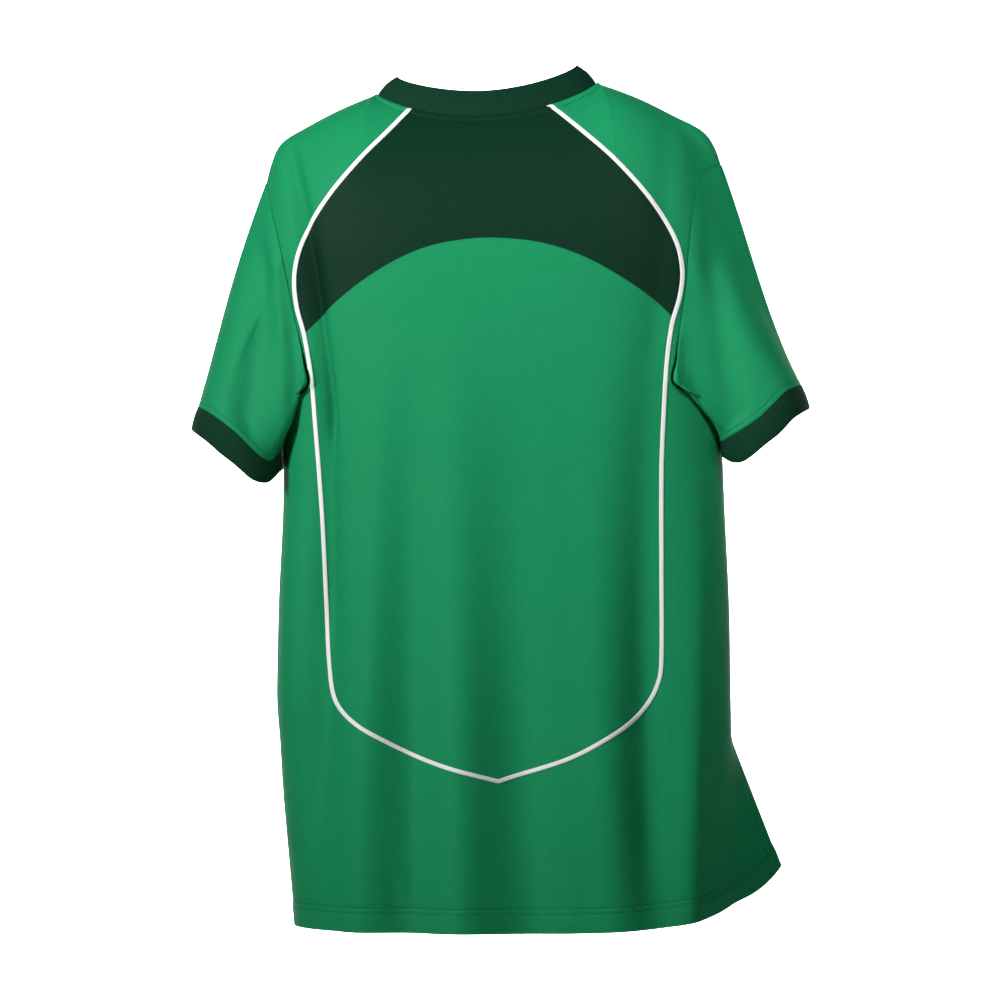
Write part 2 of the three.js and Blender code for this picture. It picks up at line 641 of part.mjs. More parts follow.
// Outline of the piping seen from behind. The armhole seam takes in what lies beyond it.
function pipingOutline() {
  const curveOf = (rows) => new THREE.CatmullRomCurve3(
    rows.map((row) => new THREE.Vector3(row.x, 0, row.z)), false, "centripetal");
  const edgesOf = (rows, side) => {
    const curve = curveOf(rows);
    const steps = 48;
    const edges = { outside: [], inside: [] };
    for (let step = 0; step <= steps; step += 1) {
      const point = curve.getPointAt(step / steps);
      const way = curve.getTangentAt(step / steps);
      const square = new THREE.Vector3(-way.z, 0, way.x).multiplyScalar(side * PIPING_WIDTH / 2);
      const lean = step === steps ? new THREE.Vector3(0, 0, -PIPING_WIDTH / 2) : square;
      const outside = point.clone().add(lean);
      const limit = armholeX(side, outside.z) - PIPING_SEAM_MARGIN;
      outside.x = side * Math.min(side * outside.x, limit);
      edges.outside.push(outside);
      edges.inside.push(point.clone().sub(lean));
    }
    return edges;
  };
  const left = edgesOf(PIPING.left, LEFT);
  const right = edgesOf(PIPING.right, RIGHT);
  return [...left.outside, ...right.outside.slice(0, -1).reverse(),
    ...right.inside, ...left.inside.slice(0, -1).reverse()];
}

function toManifold(geometry) {
  return new wasm.Manifold(new wasm.Mesh({
    numProp: 3,
    vertProperties: new Float32Array(geometry.attributes.position.array),
    triVerts: new Uint32Array(geometry.index.array),
  }));
}

function fromManifold(solid) {
  const mesh = solid.getMesh();
  const geometry = new THREE.BufferGeometry();
  geometry.setAttribute("position", new THREE.BufferAttribute(mesh.vertProperties, 3));
  geometry.setIndex(new THREE.BufferAttribute(mesh.triVerts, 1));
  return geometry;
}

// A prism along y over an outline in x and z
function prism(outline, depth) {
  const flat = outline.map((point) => new THREE.Vector2(point.x, point.z));
  if (THREE.ShapeUtils.isClockWise(flat)) return prism([...outline].reverse(), depth);
  const faces = THREE.ShapeUtils.triangulateShape(flat, []);
  const count = outline.length;
  const positions = [0, depth].flatMap((y) => outline.flatMap((point) => [point.x, y, point.z]));
  const index = faces.flatMap(([a, b, c]) => [a, b, c, a + count, c + count, b + count]);
  for (let at = 0; at < count; at += 1) {
    const next = (at + 1) % count;
    index.push(at, at + count, next + count, at, next + count, next);
  }
  const geometry = new THREE.BufferGeometry();
  geometry.setAttribute("position", new THREE.Float32BufferAttribute(positions, 3));
  geometry.setIndex(signedVolume(positions, index) < 0 ? index.reverse() : index);
  return geometry;
}

// The piping: the back's own points moved out, kept only inside the outline
function makePiping(layers, normals, rows, columns) {
  const flatNormals = normals.flat();
  const raised = (distance) => layers.outer.map(
    (point, index) => point.clone().addScaledVector(flatNormals[index], distance));
  const sheet = closeWall(raised(SEAM_GAP + PIPING_THICK), raised(SEAM_GAP), rows, columns, false);
  const cut = toManifold(sheet).intersect(toManifold(prism(pipingOutline(), 160))).decompose();
  return fromManifold(cut.reduce((best, part) => (part.volume() > best.volume() ? part : best)));
}

function buildJersey() {
  const jersey = new THREE.Group();
  const back = makeBodyPanel(BACK);
  const front = makeBodyPanel(FRONT);
  const sleeveLeft = makeSleeve(back, front, LEFT);
  const sleeveRight = makeSleeve(back, front, RIGHT);
  const pieces = [
    { name: "back", panel: back, colour: COLOURS.green },
    { name: "front", panel: front, colour: COLOURS.green },
    { name: "sleeve_left", panel: sleeveLeft, colour: COLOURS.green },
    { name: "sleeve_right", panel: sleeveRight, colour: COLOURS.green },
    { name: "cuff_left", panel: makeCuff(sleeveLeft, LEFT), colour: COLOURS.rib },
    { name: "cuff_right", panel: makeCuff(sleeveRight, RIGHT), colour: COLOURS.rib },
    { name: "collar", panel: makeCollar(back, front), colour: COLOURS.rib },
  ];
  const panels = pieces.map((piece) => piece.panel);
  raiseRelief(panels);
  const { own, shared } = sharedNormals(panels);
  lapSleeves(panels, own, shared);
  pieces.forEach(({ name, panel, colour }, index) => {
    const layers = wallLayers(panel, own[index], shared[index]);
    const rows = panel.grid.length;
    const columns = panel.grid[0].length;
    const solid = closeWall(layers.outer, layers.inner, rows, columns, panel.closed);
    addMesh(jersey, name, solid, colour, 0.75);
    if (name === "back") {
      addMesh(jersey, "piping", makePiping(layers, shared[index], rows, columns), COLOURS.white, 0.6);
    }
  });
  return jersey;
}

export default buildJersey();
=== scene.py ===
# %% [markdown]
# # A football jersey in Blender
# This lesson dresses a jersey whose solids are already made. The shirt is filled out as if somebody
# wore it, with nobody inside, and we look at its back. Every form here is worked out from a few short
# tables of sizes in millimetres, on a grid that is much finer than the solid's own.

import math

import bpy
import numpy as np
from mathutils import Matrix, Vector
from mathutils.bvhtree import BVHTree


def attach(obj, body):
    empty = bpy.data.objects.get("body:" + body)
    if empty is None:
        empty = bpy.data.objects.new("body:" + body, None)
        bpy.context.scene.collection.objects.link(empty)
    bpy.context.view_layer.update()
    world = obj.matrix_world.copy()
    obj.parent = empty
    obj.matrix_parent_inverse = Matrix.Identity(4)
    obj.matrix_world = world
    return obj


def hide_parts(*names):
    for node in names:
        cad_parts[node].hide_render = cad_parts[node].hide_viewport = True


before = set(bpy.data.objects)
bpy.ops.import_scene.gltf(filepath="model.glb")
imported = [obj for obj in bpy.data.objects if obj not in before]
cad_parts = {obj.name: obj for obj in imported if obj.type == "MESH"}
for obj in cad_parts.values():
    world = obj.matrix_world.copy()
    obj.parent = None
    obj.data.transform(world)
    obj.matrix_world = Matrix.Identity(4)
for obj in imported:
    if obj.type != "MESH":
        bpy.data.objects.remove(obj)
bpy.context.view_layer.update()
print("solids:", ", ".join(sorted(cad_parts)))

# %% [markdown]
# ## Tables that describe the form
# A pattern cutter works from a table of sizes at set heights. We do the same: each table has named
# columns, and a smooth curve through one column answers for every height between the rows.

# %% Tables and the curve through a column
HEM_Z, UNDERARM_Z, BLADE_Z = -731, -276, -150
NECK_COLUMN, EDGE_COLUMN = 7, 14
ROUNDNESS = 2.4
BACK, FRONT, LEFT, RIGHT = 1, -1, 1, -1


def table(columns, *rows):
    return dict(zip(columns.split(), np.array(rows, float).T))


def ease(value, low, high):
    share = np.clip((np.asarray(value, float) - low) / (high - low), 0, 1)
    return share * share * (3 - 2 * share)


def blend(a, b, share):
    return a + (b - a) * share


def curve(s, start, goal, leave, arrive):
    bend = s * s * (3 - 2 * s)
    between = start * (1 - bend) + goal * bend
    return between + leave * s * (1 - s) ** 2 + arrive * s * s * (s - 1)


def smooth(rows, by, column, value):
    places, sizes = rows[by], rows[column]
    slopes = np.gradient(sizes, places)
    slopes[1:-1] = (sizes[2:] - sizes[:-2]) / (places[2:] - places[:-2])
    at = np.clip(np.searchsorted(places, value, "right") - 1, 0, len(places) - 2)
    step = places[at + 1] - places[at]
    s = np.clip((value - places[at]) / step, 0, 1)
    return curve(s, sizes[at], sizes[at + 1], slopes[at] * step, slopes[at + 1] * step)


RINGS = table("z left right middle back front",
    [-731, 169, 218, -24, 109, 108], [-676, 174, 217, -21, 106, 106],
    [-605, 180, 216, -18, 102, 103], [-535, 183, 214.5, -16, 99, 101],
    [-450, 182, 213, -14, 98, 101], [-359, 178.6, 208.6, -11, 100, 105],
    [-276, 181, 206, -6, 104, 110], [-190, 192, 207, -2, 105, 112],
    [-150, 200, 212, 0, 104, 111])
ARMHOLES = table("share rise backLeft backRight frontLeft frontRight",
    [0, 0, 181, 206, 181, 206], [0.093, 0.004, 178, 202, 178, 202],
    [0.163, 0.015, 171.5, 192, 171, 191], [0.229, 0.045, 162, 174, 160, 173],
    [0.281, 0.09, 154, 160, 152, 158], [0.344, 0.18, 157, 163, 152, 158],
    [0.469, 0.35, 165.5, 168.5, 157, 161], [0.59, 0.52, 172.5, 172.5, 164, 167],
    [0.722, 0.7, 180, 176.5, 173, 174], [0.835, 0.84, 187, 181, 182, 181],
    [0.896, 0.92, 190, 184.5, 187, 187], [0.947, 0.97, 192, 190, 191, 194],
    [1, 1, 194, 206, 194, 206])
SHOULDERS = table("share leftX leftZ rightX rightZ",
    [0, 96, -3, 96, 7], [0.25, 131, -17.5, 132, -6], [0.5, 161, -33, 166, -22],
    [0.64, 176.5, -42, 181, -29], [0.76, 184.5, -51, 192.5, -37], [0.88, 190, -65, 200.5, -49],
    [1, 194, -80, 206, -64])
NECK_ROWS = np.array([0, 0.04, 0.08, 0.13, 0.2, 0.29, 0.39, 0.49, 0.6, 0.71, 0.81, 0.9, 0.962,
    0.972, 0.993, 1])
NECK = {"half": 96, "y": 8, "back": 58, "front": -88, "backDrop": 27, "frontDrop": 82,
    "tilt": -5 / 96, "backSlope": 62, "frontSlope": 50, "bulge": 14, "bulgeColumns": 1.8}
FLARE = {"z": -568, "y": -13, "x": -218, "reach": 42, "spread": 24, "lift": 50, "liftSpread": 90}
print("rings:", len(RINGS["z"]), "armhole rows:", len(ARMHOLES["share"]))

# %% [markdown]
# ## The body's surface
# Below the arms the body is a set of rings, boxier than an ellipse, as cloth hangs round a chest.
# Above them each column of the grid climbs to the neck seam or to the shoulder line and rounds over
# on its way. A last rule pulls out the corner of the hem that flares on the wearer's right.

# %% Rings, neck, shoulders and armholes


def ring(z):
    height = np.clip(z, HEM_Z, BLADE_Z)
    return {column: smooth(RINGS, "z", column, height) for column in RINGS if column != "z"}


def half_width(shape, x):
    return np.where(x > shape["middle"], shape["left"] - shape["middle"],
        shape["right"] + shape["middle"])


def face_depth(shape, face):
    return shape["back"] if face == BACK else shape["front"]


def share_across(shape, x):
    return np.minimum(np.abs(x - shape["middle"]) / half_width(shape, x), 1)


def ring_depth(shape, x, face):
    across = share_across(shape, x)
    return face * face_depth(shape, face) * (1 - across ** ROUNDNESS) ** (1 / ROUNDNESS)


def by_side(rows, by, left, right, side, value):
    return np.where(side > 0, smooth(rows, by, left, value), smooth(rows, by, right, value))


def top_point(column, side, face):
    share = np.clip((column - NECK_COLUMN) / (EDGE_COLUMN - NECK_COLUMN), 0, 1)
    shoulder_x = side * by_side(SHOULDERS, "share", "leftX", "rightX", side, share)
    shoulder_z = by_side(SHOULDERS, "share", "leftZ", "rightZ", side, share)
    angle = np.minimum(column / NECK_COLUMN, 1) * math.pi / 2
    reach = NECK["back"] if face == BACK else NECK["front"]
    drop = NECK["backDrop"] if face == BACK else NECK["frontDrop"]
    neck_x = side * NECK["half"] * np.sin(angle)
    neck_z = 2 + NECK["tilt"] * neck_x - drop * np.cos(angle) ** 1.5
    outside = column > NECK_COLUMN
    return (np.where(outside, shoulder_x, neck_x),
        np.where(outside, NECK["y"], blend(NECK["y"], reach, np.cos(angle))),
        np.where(outside, shoulder_z, neck_z))


def body_depth(x, z, column, side, face):
    flat = ring_depth(ring(z), x, face)
    _, top_y, top_z = top_point(column, side, face)
    slope = NECK["backSlope"] if face == BACK else NECK["frontSlope"]
    limit = np.radians(blend(slope, 90, ease(column, 3, NECK_COLUMN + 1)))
    share = np.clip((z - BLADE_Z) / (top_z - BLADE_Z), 0, 1)
    turn = np.arcsin(share * np.sin(limit))
    rounded = blend(top_y, flat, (np.cos(turn) - np.cos(limit)) / (1 - np.cos(limit)))
    return np.where(z <= BLADE_Z, flat, rounded)


def foot_z(column):
    return UNDERARM_Z - 40 * (1 - (column / EDGE_COLUMN) ** 3)


def neck_rise(share):
    steps = np.diff(NECK_ROWS)
    slopes = np.zeros(len(NECK_ROWS))
    slopes[1:-1] = 2 * steps[:-1] * steps[1:] / (steps[:-1] + steps[1:])
    slopes[0], slopes[-1] = steps[0], steps[-1]
    place = np.clip(share, 0, 1) * (len(NECK_ROWS) - 1)
    at = np.minimum(place.astype(int), len(NECK_ROWS) - 2)
    return curve(place - at, NECK_ROWS[at], NECK_ROWS[at + 1], slopes[at], slopes[at + 1])


def upper_points(column, side, face, share):
    name = "back" if face == BACK else "front"
    edge_x = side * by_side(ARMHOLES, "share", name + "Left", name + "Right", side, share)
    rise = smooth(ARMHOLES, "share", "rise", share)
    shoulder_x, _, shoulder_z = top_point(np.full_like(column, EDGE_COLUMN), side, face)
    shape = ring(blend(UNDERARM_Z, shoulder_z, rise))
    across = share_across(shape, edge_x)
    out = column / EDGE_COLUMN
    edge_angle = np.arcsin(across ** (ROUNDNESS / 2))
    turn = out * math.pi / 2 - (math.pi / 2 - edge_angle) * out ** 1.5
    low = np.sin(turn) ** (2 / ROUNDNESS) / across
    top_x, _, top_z = top_point(column, side, face)
    middle = shape["middle"] * (1 - share)
    aside = side * NECK["bulge"] * np.sqrt(1 - share) * ease(share, 0, 0.6)
    near_neck = np.exp(-(((column - NECK_COLUMN) / NECK["bulgeColumns"]) ** 2))
    high = top_x * blend(1, edge_x / shoulder_x, ease(out, 0.6, 0.93))
    x = blend(middle + low * (edge_x - middle), high, ease(share, 0, 1)) + aside * near_neck
    z = blend(foot_z(column), top_z, blend(neck_rise(share), rise, out ** 4))
    return np.stack([x, body_depth(x, z, column, side, face), z], -1)


def lower_points(column, side, face, z):
    shape = ring(z)
    turn = column / EDGE_COLUMN * math.pi / 2
    half_x = half_width(shape, shape["middle"] + side)
    x = shape["middle"] + side * half_x * np.sin(turn) ** (2 / ROUNDNESS)
    y = face * face_depth(shape, face) * np.cos(turn).clip(0) ** (2 / ROUNDNESS)
    y = np.where(column >= EDGE_COLUMN, 0, y)
    below = ((FLARE["z"] - z) / (FLARE["z"] - HEM_Z)).clip(0)
    away = np.hypot(x - FLARE["x"], y - FLARE["y"])
    right = (x <= 0) & (z <= FLARE["z"])
    out = np.exp(-(((y - FLARE["y"]) / FLARE["spread"]) ** 2))
    near = blend(np.exp(-((away / FLARE["liftSpread"]) ** 2)), out ** 2, 0.5)
    lifted = z + FLARE["lift"] * below ** 1.5 * near
    share = np.clip((FLARE["z"] - lifted) / (FLARE["z"] - HEM_Z - FLARE["lift"]), 0, 1)
    return np.stack([np.where(right, x - FLARE["reach"] * share * out, x), y,
        np.where(right, lifted, z)], -1)


# %% [markdown]
# ## Folds
# Light from the side shows a fold by its two flanks: the one that faces the light is bright and the
# other is dark, and the crest lies between them. Each fold is a soft ridge (+) or trough (-) along a
# bowed path, and it fades in at its top. Narrow creases of the same kind run from the shoulders
# past the armholes, and low, short ones wrinkle the hem.

# %% Fold tables
FOLD = "top bottom x1 x2 x3 width height"
BACK_FOLDS = table(FOLD,
    [-50, -720, 172, 139, 156, 13, -4.4], [-300, -580, 166, 166, 172, 14, 3],
    [-210, -860, 84, 102, 111, 17, 4.5], [-240, -860, 73, 66, 70, 18, -5.5],
    [-190, -860, 27, 23, 20, 22, 6], [-250, -860, -20, -28, -46, 24, -5.5],
    [-190, -860, -104, -98, -128, 22, 4], [-110, -760, -147, -138, -147, 17, -4.4],
    [-262, -860, -190, -179, -168, 15, 4.4])
FRONT_FOLDS = table(FOLD,
    [-50, -700, 171, 140, 152, 13, -6], [-230, -860, 98, 110, 118, 18, 4.5],
    [-260, -860, 70, 74, 66, 19, -5], [-200, -860, 30, 36, 26, 21, 5.5],
    [-280, -860, -14, -18, -34, 23, -5.5], [-240, -860, -84, -76, -92, 22, 5],
    [-110, -740, -142, -132, -140, 18, -6], [-262, -860, -184, -172, -162, 16, 5])
BACK_CREASES = table(FOLD, [-5, -345, 184, 150.5, 137, 7, -8.5], [-215, -490, 142, 139, 139, 8, -4.5],
    [-10, -260, -160, -152, -146, 10, -1.5],
    [-668, -726, 86, 82, 77, 4, -1.3], [-664, -718, 69, 64, 61, 4, -1.1],
    [-640, -728, -60, -63, -68, 5, -0.9])
FRONT_CREASES = table(FOLD, [-10, -330, -178, -150, -139, 8, -5], [-200, -440, -139, -137, -136, 9, -3],
    [-90, -400, 160, 142, 140, 11, -2.4],
    [-660, -724, -88, -84, -80, 4, -1.2], [-668, -726, 52, 56, 60, 5, -1])
SLEEVE_FOLDS = {
    LEFT: table(FOLD, [-80, -330, 187, 177, 180, 10, 3.1], [-95, -350, 196, 201, 220, 15, -4.6]),
    RIGHT: table(FOLD, [-70, -335, -191, -203, -224, 13, -3.3]),
}


# The folds are this much deeper here than in the plain solids, and reach full height at this share
# of their length.
SHARPER, FULL_HEIGHT_AT = 1.8, 0.55


def fold_height(folds, x, z, grows=None):
    height = np.zeros(np.broadcast(x, z).shape)
    for top, bottom, x1, x2, x3, width, tall in zip(*(folds[name] for name in FOLD.split())):
        share = np.clip((top - z) / (top - bottom), 0, 1)
        centre = blend(x1, x3, share) + 4 * share * (1 - share) * (x2 - (x1 + x3) / 2)
        start = ease(share, 0, 0.3) if grows is None else np.minimum(share / grows, 1)
        fade = start * (1 - ease(share, 0.8, 1))
        height = height + tall * fade * np.exp(-(((x - centre) / width) ** 2))
    return height


# %% [markdown]
# ## From a grid of points to a cloth shell
# Cloth has two faces and an edge. We move the grid's points in along their normals for the inner
# face and join both layers all round, so the piece is closed. A free edge, such as the hem, gets a
# small round where the cloth is folded. Distances along rows and columns become the UV map, in
# metres, so a knit follows the cloth.

# %% Normals, distances and the shell


def grid_normals(grid, closed, toward=None):
    padded = np.concatenate([grid[:, -1:], grid, grid[:, :1]], 1) if closed else grid
    across = np.gradient(padded, axis=1)
    across = across[:, 1:-1] if closed else across
    up = np.gradient(grid, axis=0)
    normals = np.cross(across, up)
    normals /= np.linalg.norm(normals, axis=-1, keepdims=True) + 1e-12
    out = grid - grid.mean(axis=1, keepdims=True) if toward is None else np.array(toward)
    return normals * np.sign(np.sum(normals * out))


def distances(grid, axis):
    steps = np.linalg.norm(np.diff(grid, axis=axis), axis=-1)
    start = np.zeros_like(np.take(steps, [0], axis))
    return np.concatenate([start, np.cumsum(steps, axis)], axis)


def groove(distance, line=0, depth=0.55, width=0.9):
    return -depth * np.exp(-(((distance - line) / width) ** 2))


def shell_rows(grid, normals, wall, round_first, round_last):
    inner = grid - normals * wall
    radius = wall / 2
    turns = np.radians([36, 72, 108, 144])

    def cap(edge, before, edge_normals):
        away = edge - before
        away /= np.linalg.norm(away, axis=-1, keepdims=True)
        return [edge - edge_normals * radius * (1 - math.cos(a)) + away * radius * math.sin(a)
            for a in turns]

    last = cap(grid[-1], grid[-2], normals[-1]) if round_last else []
    first = cap(grid[0], grid[1], normals[0])[::-1] if round_first else []
    return np.array([*grid, *last, *inner[::-1], *first]), len(last), len(first)


def shell_faces(index, rows, last, first, closed):
    below = np.roll(index, -1, axis=0)
    if closed:
        a, b, c, d = index, np.roll(index, -1, 1), np.roll(below, -1, 1), below
        return np.stack([a, b, c, d], -1).reshape(-1, 4).tolist()
    a, b, c, d = index[:, :-1], index[:, 1:], below[:, 1:], below[:, :-1]
    faces = np.stack([a, b, c, d], -1).reshape(-1, 4).tolist()
    total = len(index)
    pairs = [(total - 1 - k, total - first + k) for k in range(first // 2)][::-1]
    pairs += [(row, 2 * rows + last - 1 - row) for row in range(rows)]
    pairs += [(rows + k, rows + last - 1 - k) for k in range(last // 2)]
    for (i, j), (k, m) in zip(pairs, pairs[1:]):
        faces.append([index[i, 0], index[k, 0], index[m, 0], index[j, 0]])
        faces.append([index[k, -1], index[i, -1], index[j, -1], index[m, -1]])
    return faces


def add_cloth_map(mesh, grid, faces, closed, spread):
    columns = grid.shape[1]
    wrapped = np.concatenate([grid, grid[:, :1]], 1) if closed else grid
    across = distances(wrapped, 1)
    across -= across[:, columns // 2][:, None]
    uv = np.stack([spread(across), spread(distances(wrapped, 0))], -1) / 1000
    under = np.roll(uv, -1, axis=0)
    corners = np.stack([uv[:, :-1], uv[:, 1:], under[:, 1:], under[:, :-1]], 2).reshape(-1, 2)
    edges = np.array(faces[len(corners) // 4:], int).reshape(-1)
    corners = np.concatenate([corners, uv[:, :columns].reshape(-1, 2)[edges]])
    mesh.uv_layers.new(name="cloth").data.foreach_set("uv", corners.reshape(-1))


def add_object(name, data):
    made = bpy.data.objects.new(name, data)
    bpy.context.scene.collection.objects.link(made)
    return made


def make_shell(name, grid, normals, wall, closed, round_first=False, round_last=False, values=None):
    loop, last, first = shell_rows(grid, normals, wall, round_first, round_last)
    index = np.arange(loop[..., 0].size).reshape(loop.shape[:2])
    faces = shell_faces(index, len(grid), last, first, closed)
    mesh = bpy.data.meshes.new(name)
    mesh.from_pydata((loop.reshape(-1, 3) / 1000).tolist(), [], faces)

    def spread(field):
        return np.concatenate([field, np.repeat(field[-1:], last, 0), field[::-1],
            np.repeat(field[:1], first, 0)])

    add_cloth_map(mesh, grid, faces, closed, spread)
    for key, field in (values or {}).items():
        numbers = spread(field).reshape(-1)
        mesh.attributes.new(key, "FLOAT", "POINT").data.foreach_set("value", numbers)
    mesh.shade_smooth()
    volume = signed_volume(mesh)
    if volume < 0:
        mesh.flip_normals()
    print(f"{name}: {len(mesh.polygons)} faces, {abs(volume) * 1e6:.0f} cm3")
    return add_object(name, mesh)


def signed_volume(mesh):
    mesh.calc_loop_triangles()
    places = np.empty(len(mesh.vertices) * 3)
    mesh.vertices.foreach_get("co", places)
    corners = np.empty(len(mesh.loop_triangles) * 3, int)
    mesh.loop_triangles.foreach_get("vertices", corners)
    a, b, c = places.reshape(-1, 3)[corners.reshape(-1, 3)].transpose(1, 0, 2)
    return float(np.sum(a * np.cross(b, c)) / 6)


# %% [markdown]
# ## Back and front
# The two panels are cut alike, except for the neck. The grid is closer where something small shows:
# at the hem's two stitch lines, below the neck, where the seam allowance is pressed down and makes a
# low ridge, and beside the seams, which dip a little.

# %% Rows and columns of the two panels
HEM_LINES, NECK_LINE, CUFF_LINE = [16.5, 21.2], 8, 5.3
HEM_LIFT, NECK_LIFT = 0.7, 1.3
LEVELS = 15
hem_rows = np.array([0, 1, 3, 6, 9, 12, 14.4, 15.5, 16.5, 17.5, 18.8, 20.2, 21.2, 22.2, 23.4, 26, 30])
seam_columns = [13.98, 13.95, 13.9]
half = np.unique(np.concatenate([np.arange(0, 14.01, 0.2), seam_columns]).round(4))
signed = np.concatenate([-half[:0:-1], half])
levels = np.concatenate([np.arange(0, 12, 1 / 6), np.arange(12, LEVELS + 0.001, 1 / 8)])
upper_shares = levels / LEVELS
WALL, RIB_WALL, COLLAR_WALL, TAPE_WALL = 1.2, 2.2, 2.4, 0.45


def body_panel(face):
    column, side = np.abs(signed)[None, :], np.where(signed < 0, RIGHT, LEFT)[None, :]
    hem = lower_points(column, side, face, HEM_Z + hem_rows[:, None] + 0 * column)
    shares = np.linspace(0, 1, 76)[1:-1, None]
    middle = lower_points(column, side, face, blend(HEM_Z + hem_rows[-1], foot_z(column), shares))
    share = np.broadcast_to(upper_shares[:, None], (len(upper_shares), len(signed)))
    upper = upper_points(column + 0 * share, side + 0 * share, face, share)
    grid = np.concatenate([hem, middle, upper])
    lower_rows = len(hem) + len(middle)
    return {"grid": grid, "column": column, "lower": lower_rows}


def neck_ridge(distance):
    plateau = ease(distance, 0.2, 1.6) * (1 - ease(distance, 6.4, 7.4))
    return NECK_LIFT * plateau + groove(distance, NECK_LINE, depth=0.9)


def add_relief(panel, folds, creases):
    grid, column = panel["grid"], panel["column"]
    x, z = grid[..., 0], grid[..., 2]
    level = np.zeros((len(grid), 1))
    level[panel["lower"]:, 0] = upper_shares * LEVELS
    edge = 1 - ease(column, EDGE_COLUMN - 1, EDGE_COLUMN)
    height = SHARPER * fold_height(folds, x, z, FULL_HEIGHT_AT) * edge * (1 - ease(level, 9, 12))
    height = height + fold_height(creases, x, z) * edge * (1 - ease(level, 13, 14.6))
    up = distances(grid, 0)
    from_neck = up[-1:] - up
    at_neck = 1 - ease(column, NECK_COLUMN - 0.4, NECK_COLUMN + 0.2)
    height = height + neck_ridge(from_neck) * at_neck + groove(from_neck)
    height = height + HEM_LIFT * (1 - ease(up, 15, 24))
    for line in HEM_LINES:
        height = height + groove(up, line, depth=0.5, width=1.1)
    across = distances(grid, 1)
    height = height + groove(across) + groove(across[:, -1:] - across)
    panel["grid"] = grid + grid_normals(grid, False) * height[..., None]
    panel["up"], panel["from_neck"] = up, from_neck
    return panel


base = {face: body_panel(face) for face in (BACK, FRONT)}
back = add_relief(dict(base[BACK]), BACK_FOLDS, BACK_CREASES)
front = add_relief(dict(base[FRONT]), FRONT_FOLDS, FRONT_CREASES)
print("grid of the back:", back["grid"].shape[:2])

# %% [markdown]
# ## The dark yoke
# The yoke has no seam of its own along its arc, so it is dyed into the cloth: colour only. Two
# numbers on each point of the back say how far it lies above the arc and inside the piping. The
# material turns dark where both are above zero, so the border stays sharp at any distance.

# %% Distances from the yoke's border
YOKE_ARC = table("x z", [-160, -200], [-143, -185], [-116, -167], [-82, -149], [-47, -138],
    [-11, -134], [18, -135], [53, -142], [88, -158], [124, -183], [157, -214])
PIPING = {
    LEFT: table("x z", [66.5, -18], [84.5, -38], [109.5, -64], [138.5, -99], [159, -134], [166.5, -163],
        [165, -190], [158.5, -215], [152.5, -250], [149, -290], [143, -370], [139, -450],
        [136, -505], [131, -532], [117, -549], [91, -565], [55, -582], [-10, -601]),
    RIGHT: table("x z", [-53, -14], [-81, -38], [-111, -65], [-142, -100], [-163, -134],
        [-169, -160], [-167, -182], [-160, -207], [-155.5, -240], [-153, -280], [-151, -330],
        [-151, -420], [-151, -497], [-149, -514], [-141, -532], [-126, -549], [-102, -565],
        [-69, -582], [-10, -601]),
}


PIPING_TIP_X, TOP_SLOPE = -10, 0.8


def piping_x(side, z):
    rows = {"x": PIPING[side]["x"][::-1], "z": PIPING[side]["z"][::-1]}
    return smooth(rows, "z", "x", z) + np.maximum(z - rows["z"][-1], 0) * -side * TOP_SLOPE


def yoke_values(grid):
    x, z = grid[..., 0], grid[..., 2]
    above = z - smooth(YOKE_ARC, "x", "z", x)
    inside = np.minimum(piping_x(LEFT, z) - x, x - piping_x(RIGHT, z))
    return {"above_arc": above, "inside_piping": inside}


# %% Shells of back and front
pieces = {}
for name, panel in (("back", back), ("front", front)):
    panel["normals"] = grid_normals(panel["grid"], False)
    values = yoke_values(panel["grid"]) if name == "back" else None
    pieces[name] = make_shell(f"{name}_panel", panel["grid"], panel["normals"], WALL, False,
        round_first=True, values=values)

# %% [markdown]
# ## Sleeves and cuffs
# A sleeve starts on the armhole's ring of points and ends on a tilted ring at the cuff. Each line of
# points leaves the shoulder along its slope and arrives square to the cuff. Where a line would run
# into the body beside it, it is moved out to lie just clear. A cuff starts with two rows of points
# inside the sleeve's end, so no light comes through the seam.

# %% Sleeve and cuff grids
CUFFS = {
    LEFT: {"fullness": 0.4, "bow": 5.5,
        "seam": {"x": 215.5, "z": -296, "reach": 43, "depth": 66, "tilt": 26.6, "drop": "leftSeam"},
        "end": {"x": 218.5, "z": -312.7, "reach": 44.6, "depth": 67, "tilt": 21.4, "drop": "leftEnd"}},
    RIGHT: {"fullness": 0.4, "bow": 0,
        "seam": {"x": -237, "z": -285, "reach": 48, "depth": 67, "tilt": 35, "drop": "rightSeam"},
        "end": {"x": -242, "z": -296.8, "reach": 46.2, "depth": 68, "tilt": 24.6, "drop": "rightEnd"}},
}
CUFF_DROP = table("across leftSeam leftEnd rightSeam rightEnd",
    [-1, 0, 0, 0, 0], [-0.84, 8.5, 11.5, 1, 9.5], [-0.7, 16, 19, 1.5, 15.5], [-0.5, 16, 22, 2, 19],
    [-0.3, 12.5, 21, 2.3, 17.5], [0, 6.5, 15, 1.8, 13], [0.3, 3, 10.5, -1.2, 9],
    [0.6, 0.7, 5, -4, 2], [1, 0, 0, 0, 0])
# The front of a cuff drops less than its back, and the front of a sleeve is less folded.
FRONT_DROP, FRONT_SLEEVE = 0.6, -0.7
SLEEVE_CLEARANCE, LAP, LAP_STEPS = 4, 2.4, 8
CUFF_TUCK, CUFF_INSIDE, CUFF_BULGE = (2.6, 0.5), 1.7, 0.7
LEAVE_STRAIGHT, ARRIVE_STRAIGHT, ARRIVE_SQUARE = 0.65, 0.5, 0.5


def unit(vectors):
    return vectors / (np.linalg.norm(vectors, axis=-1, keepdims=True) + 1e-12)


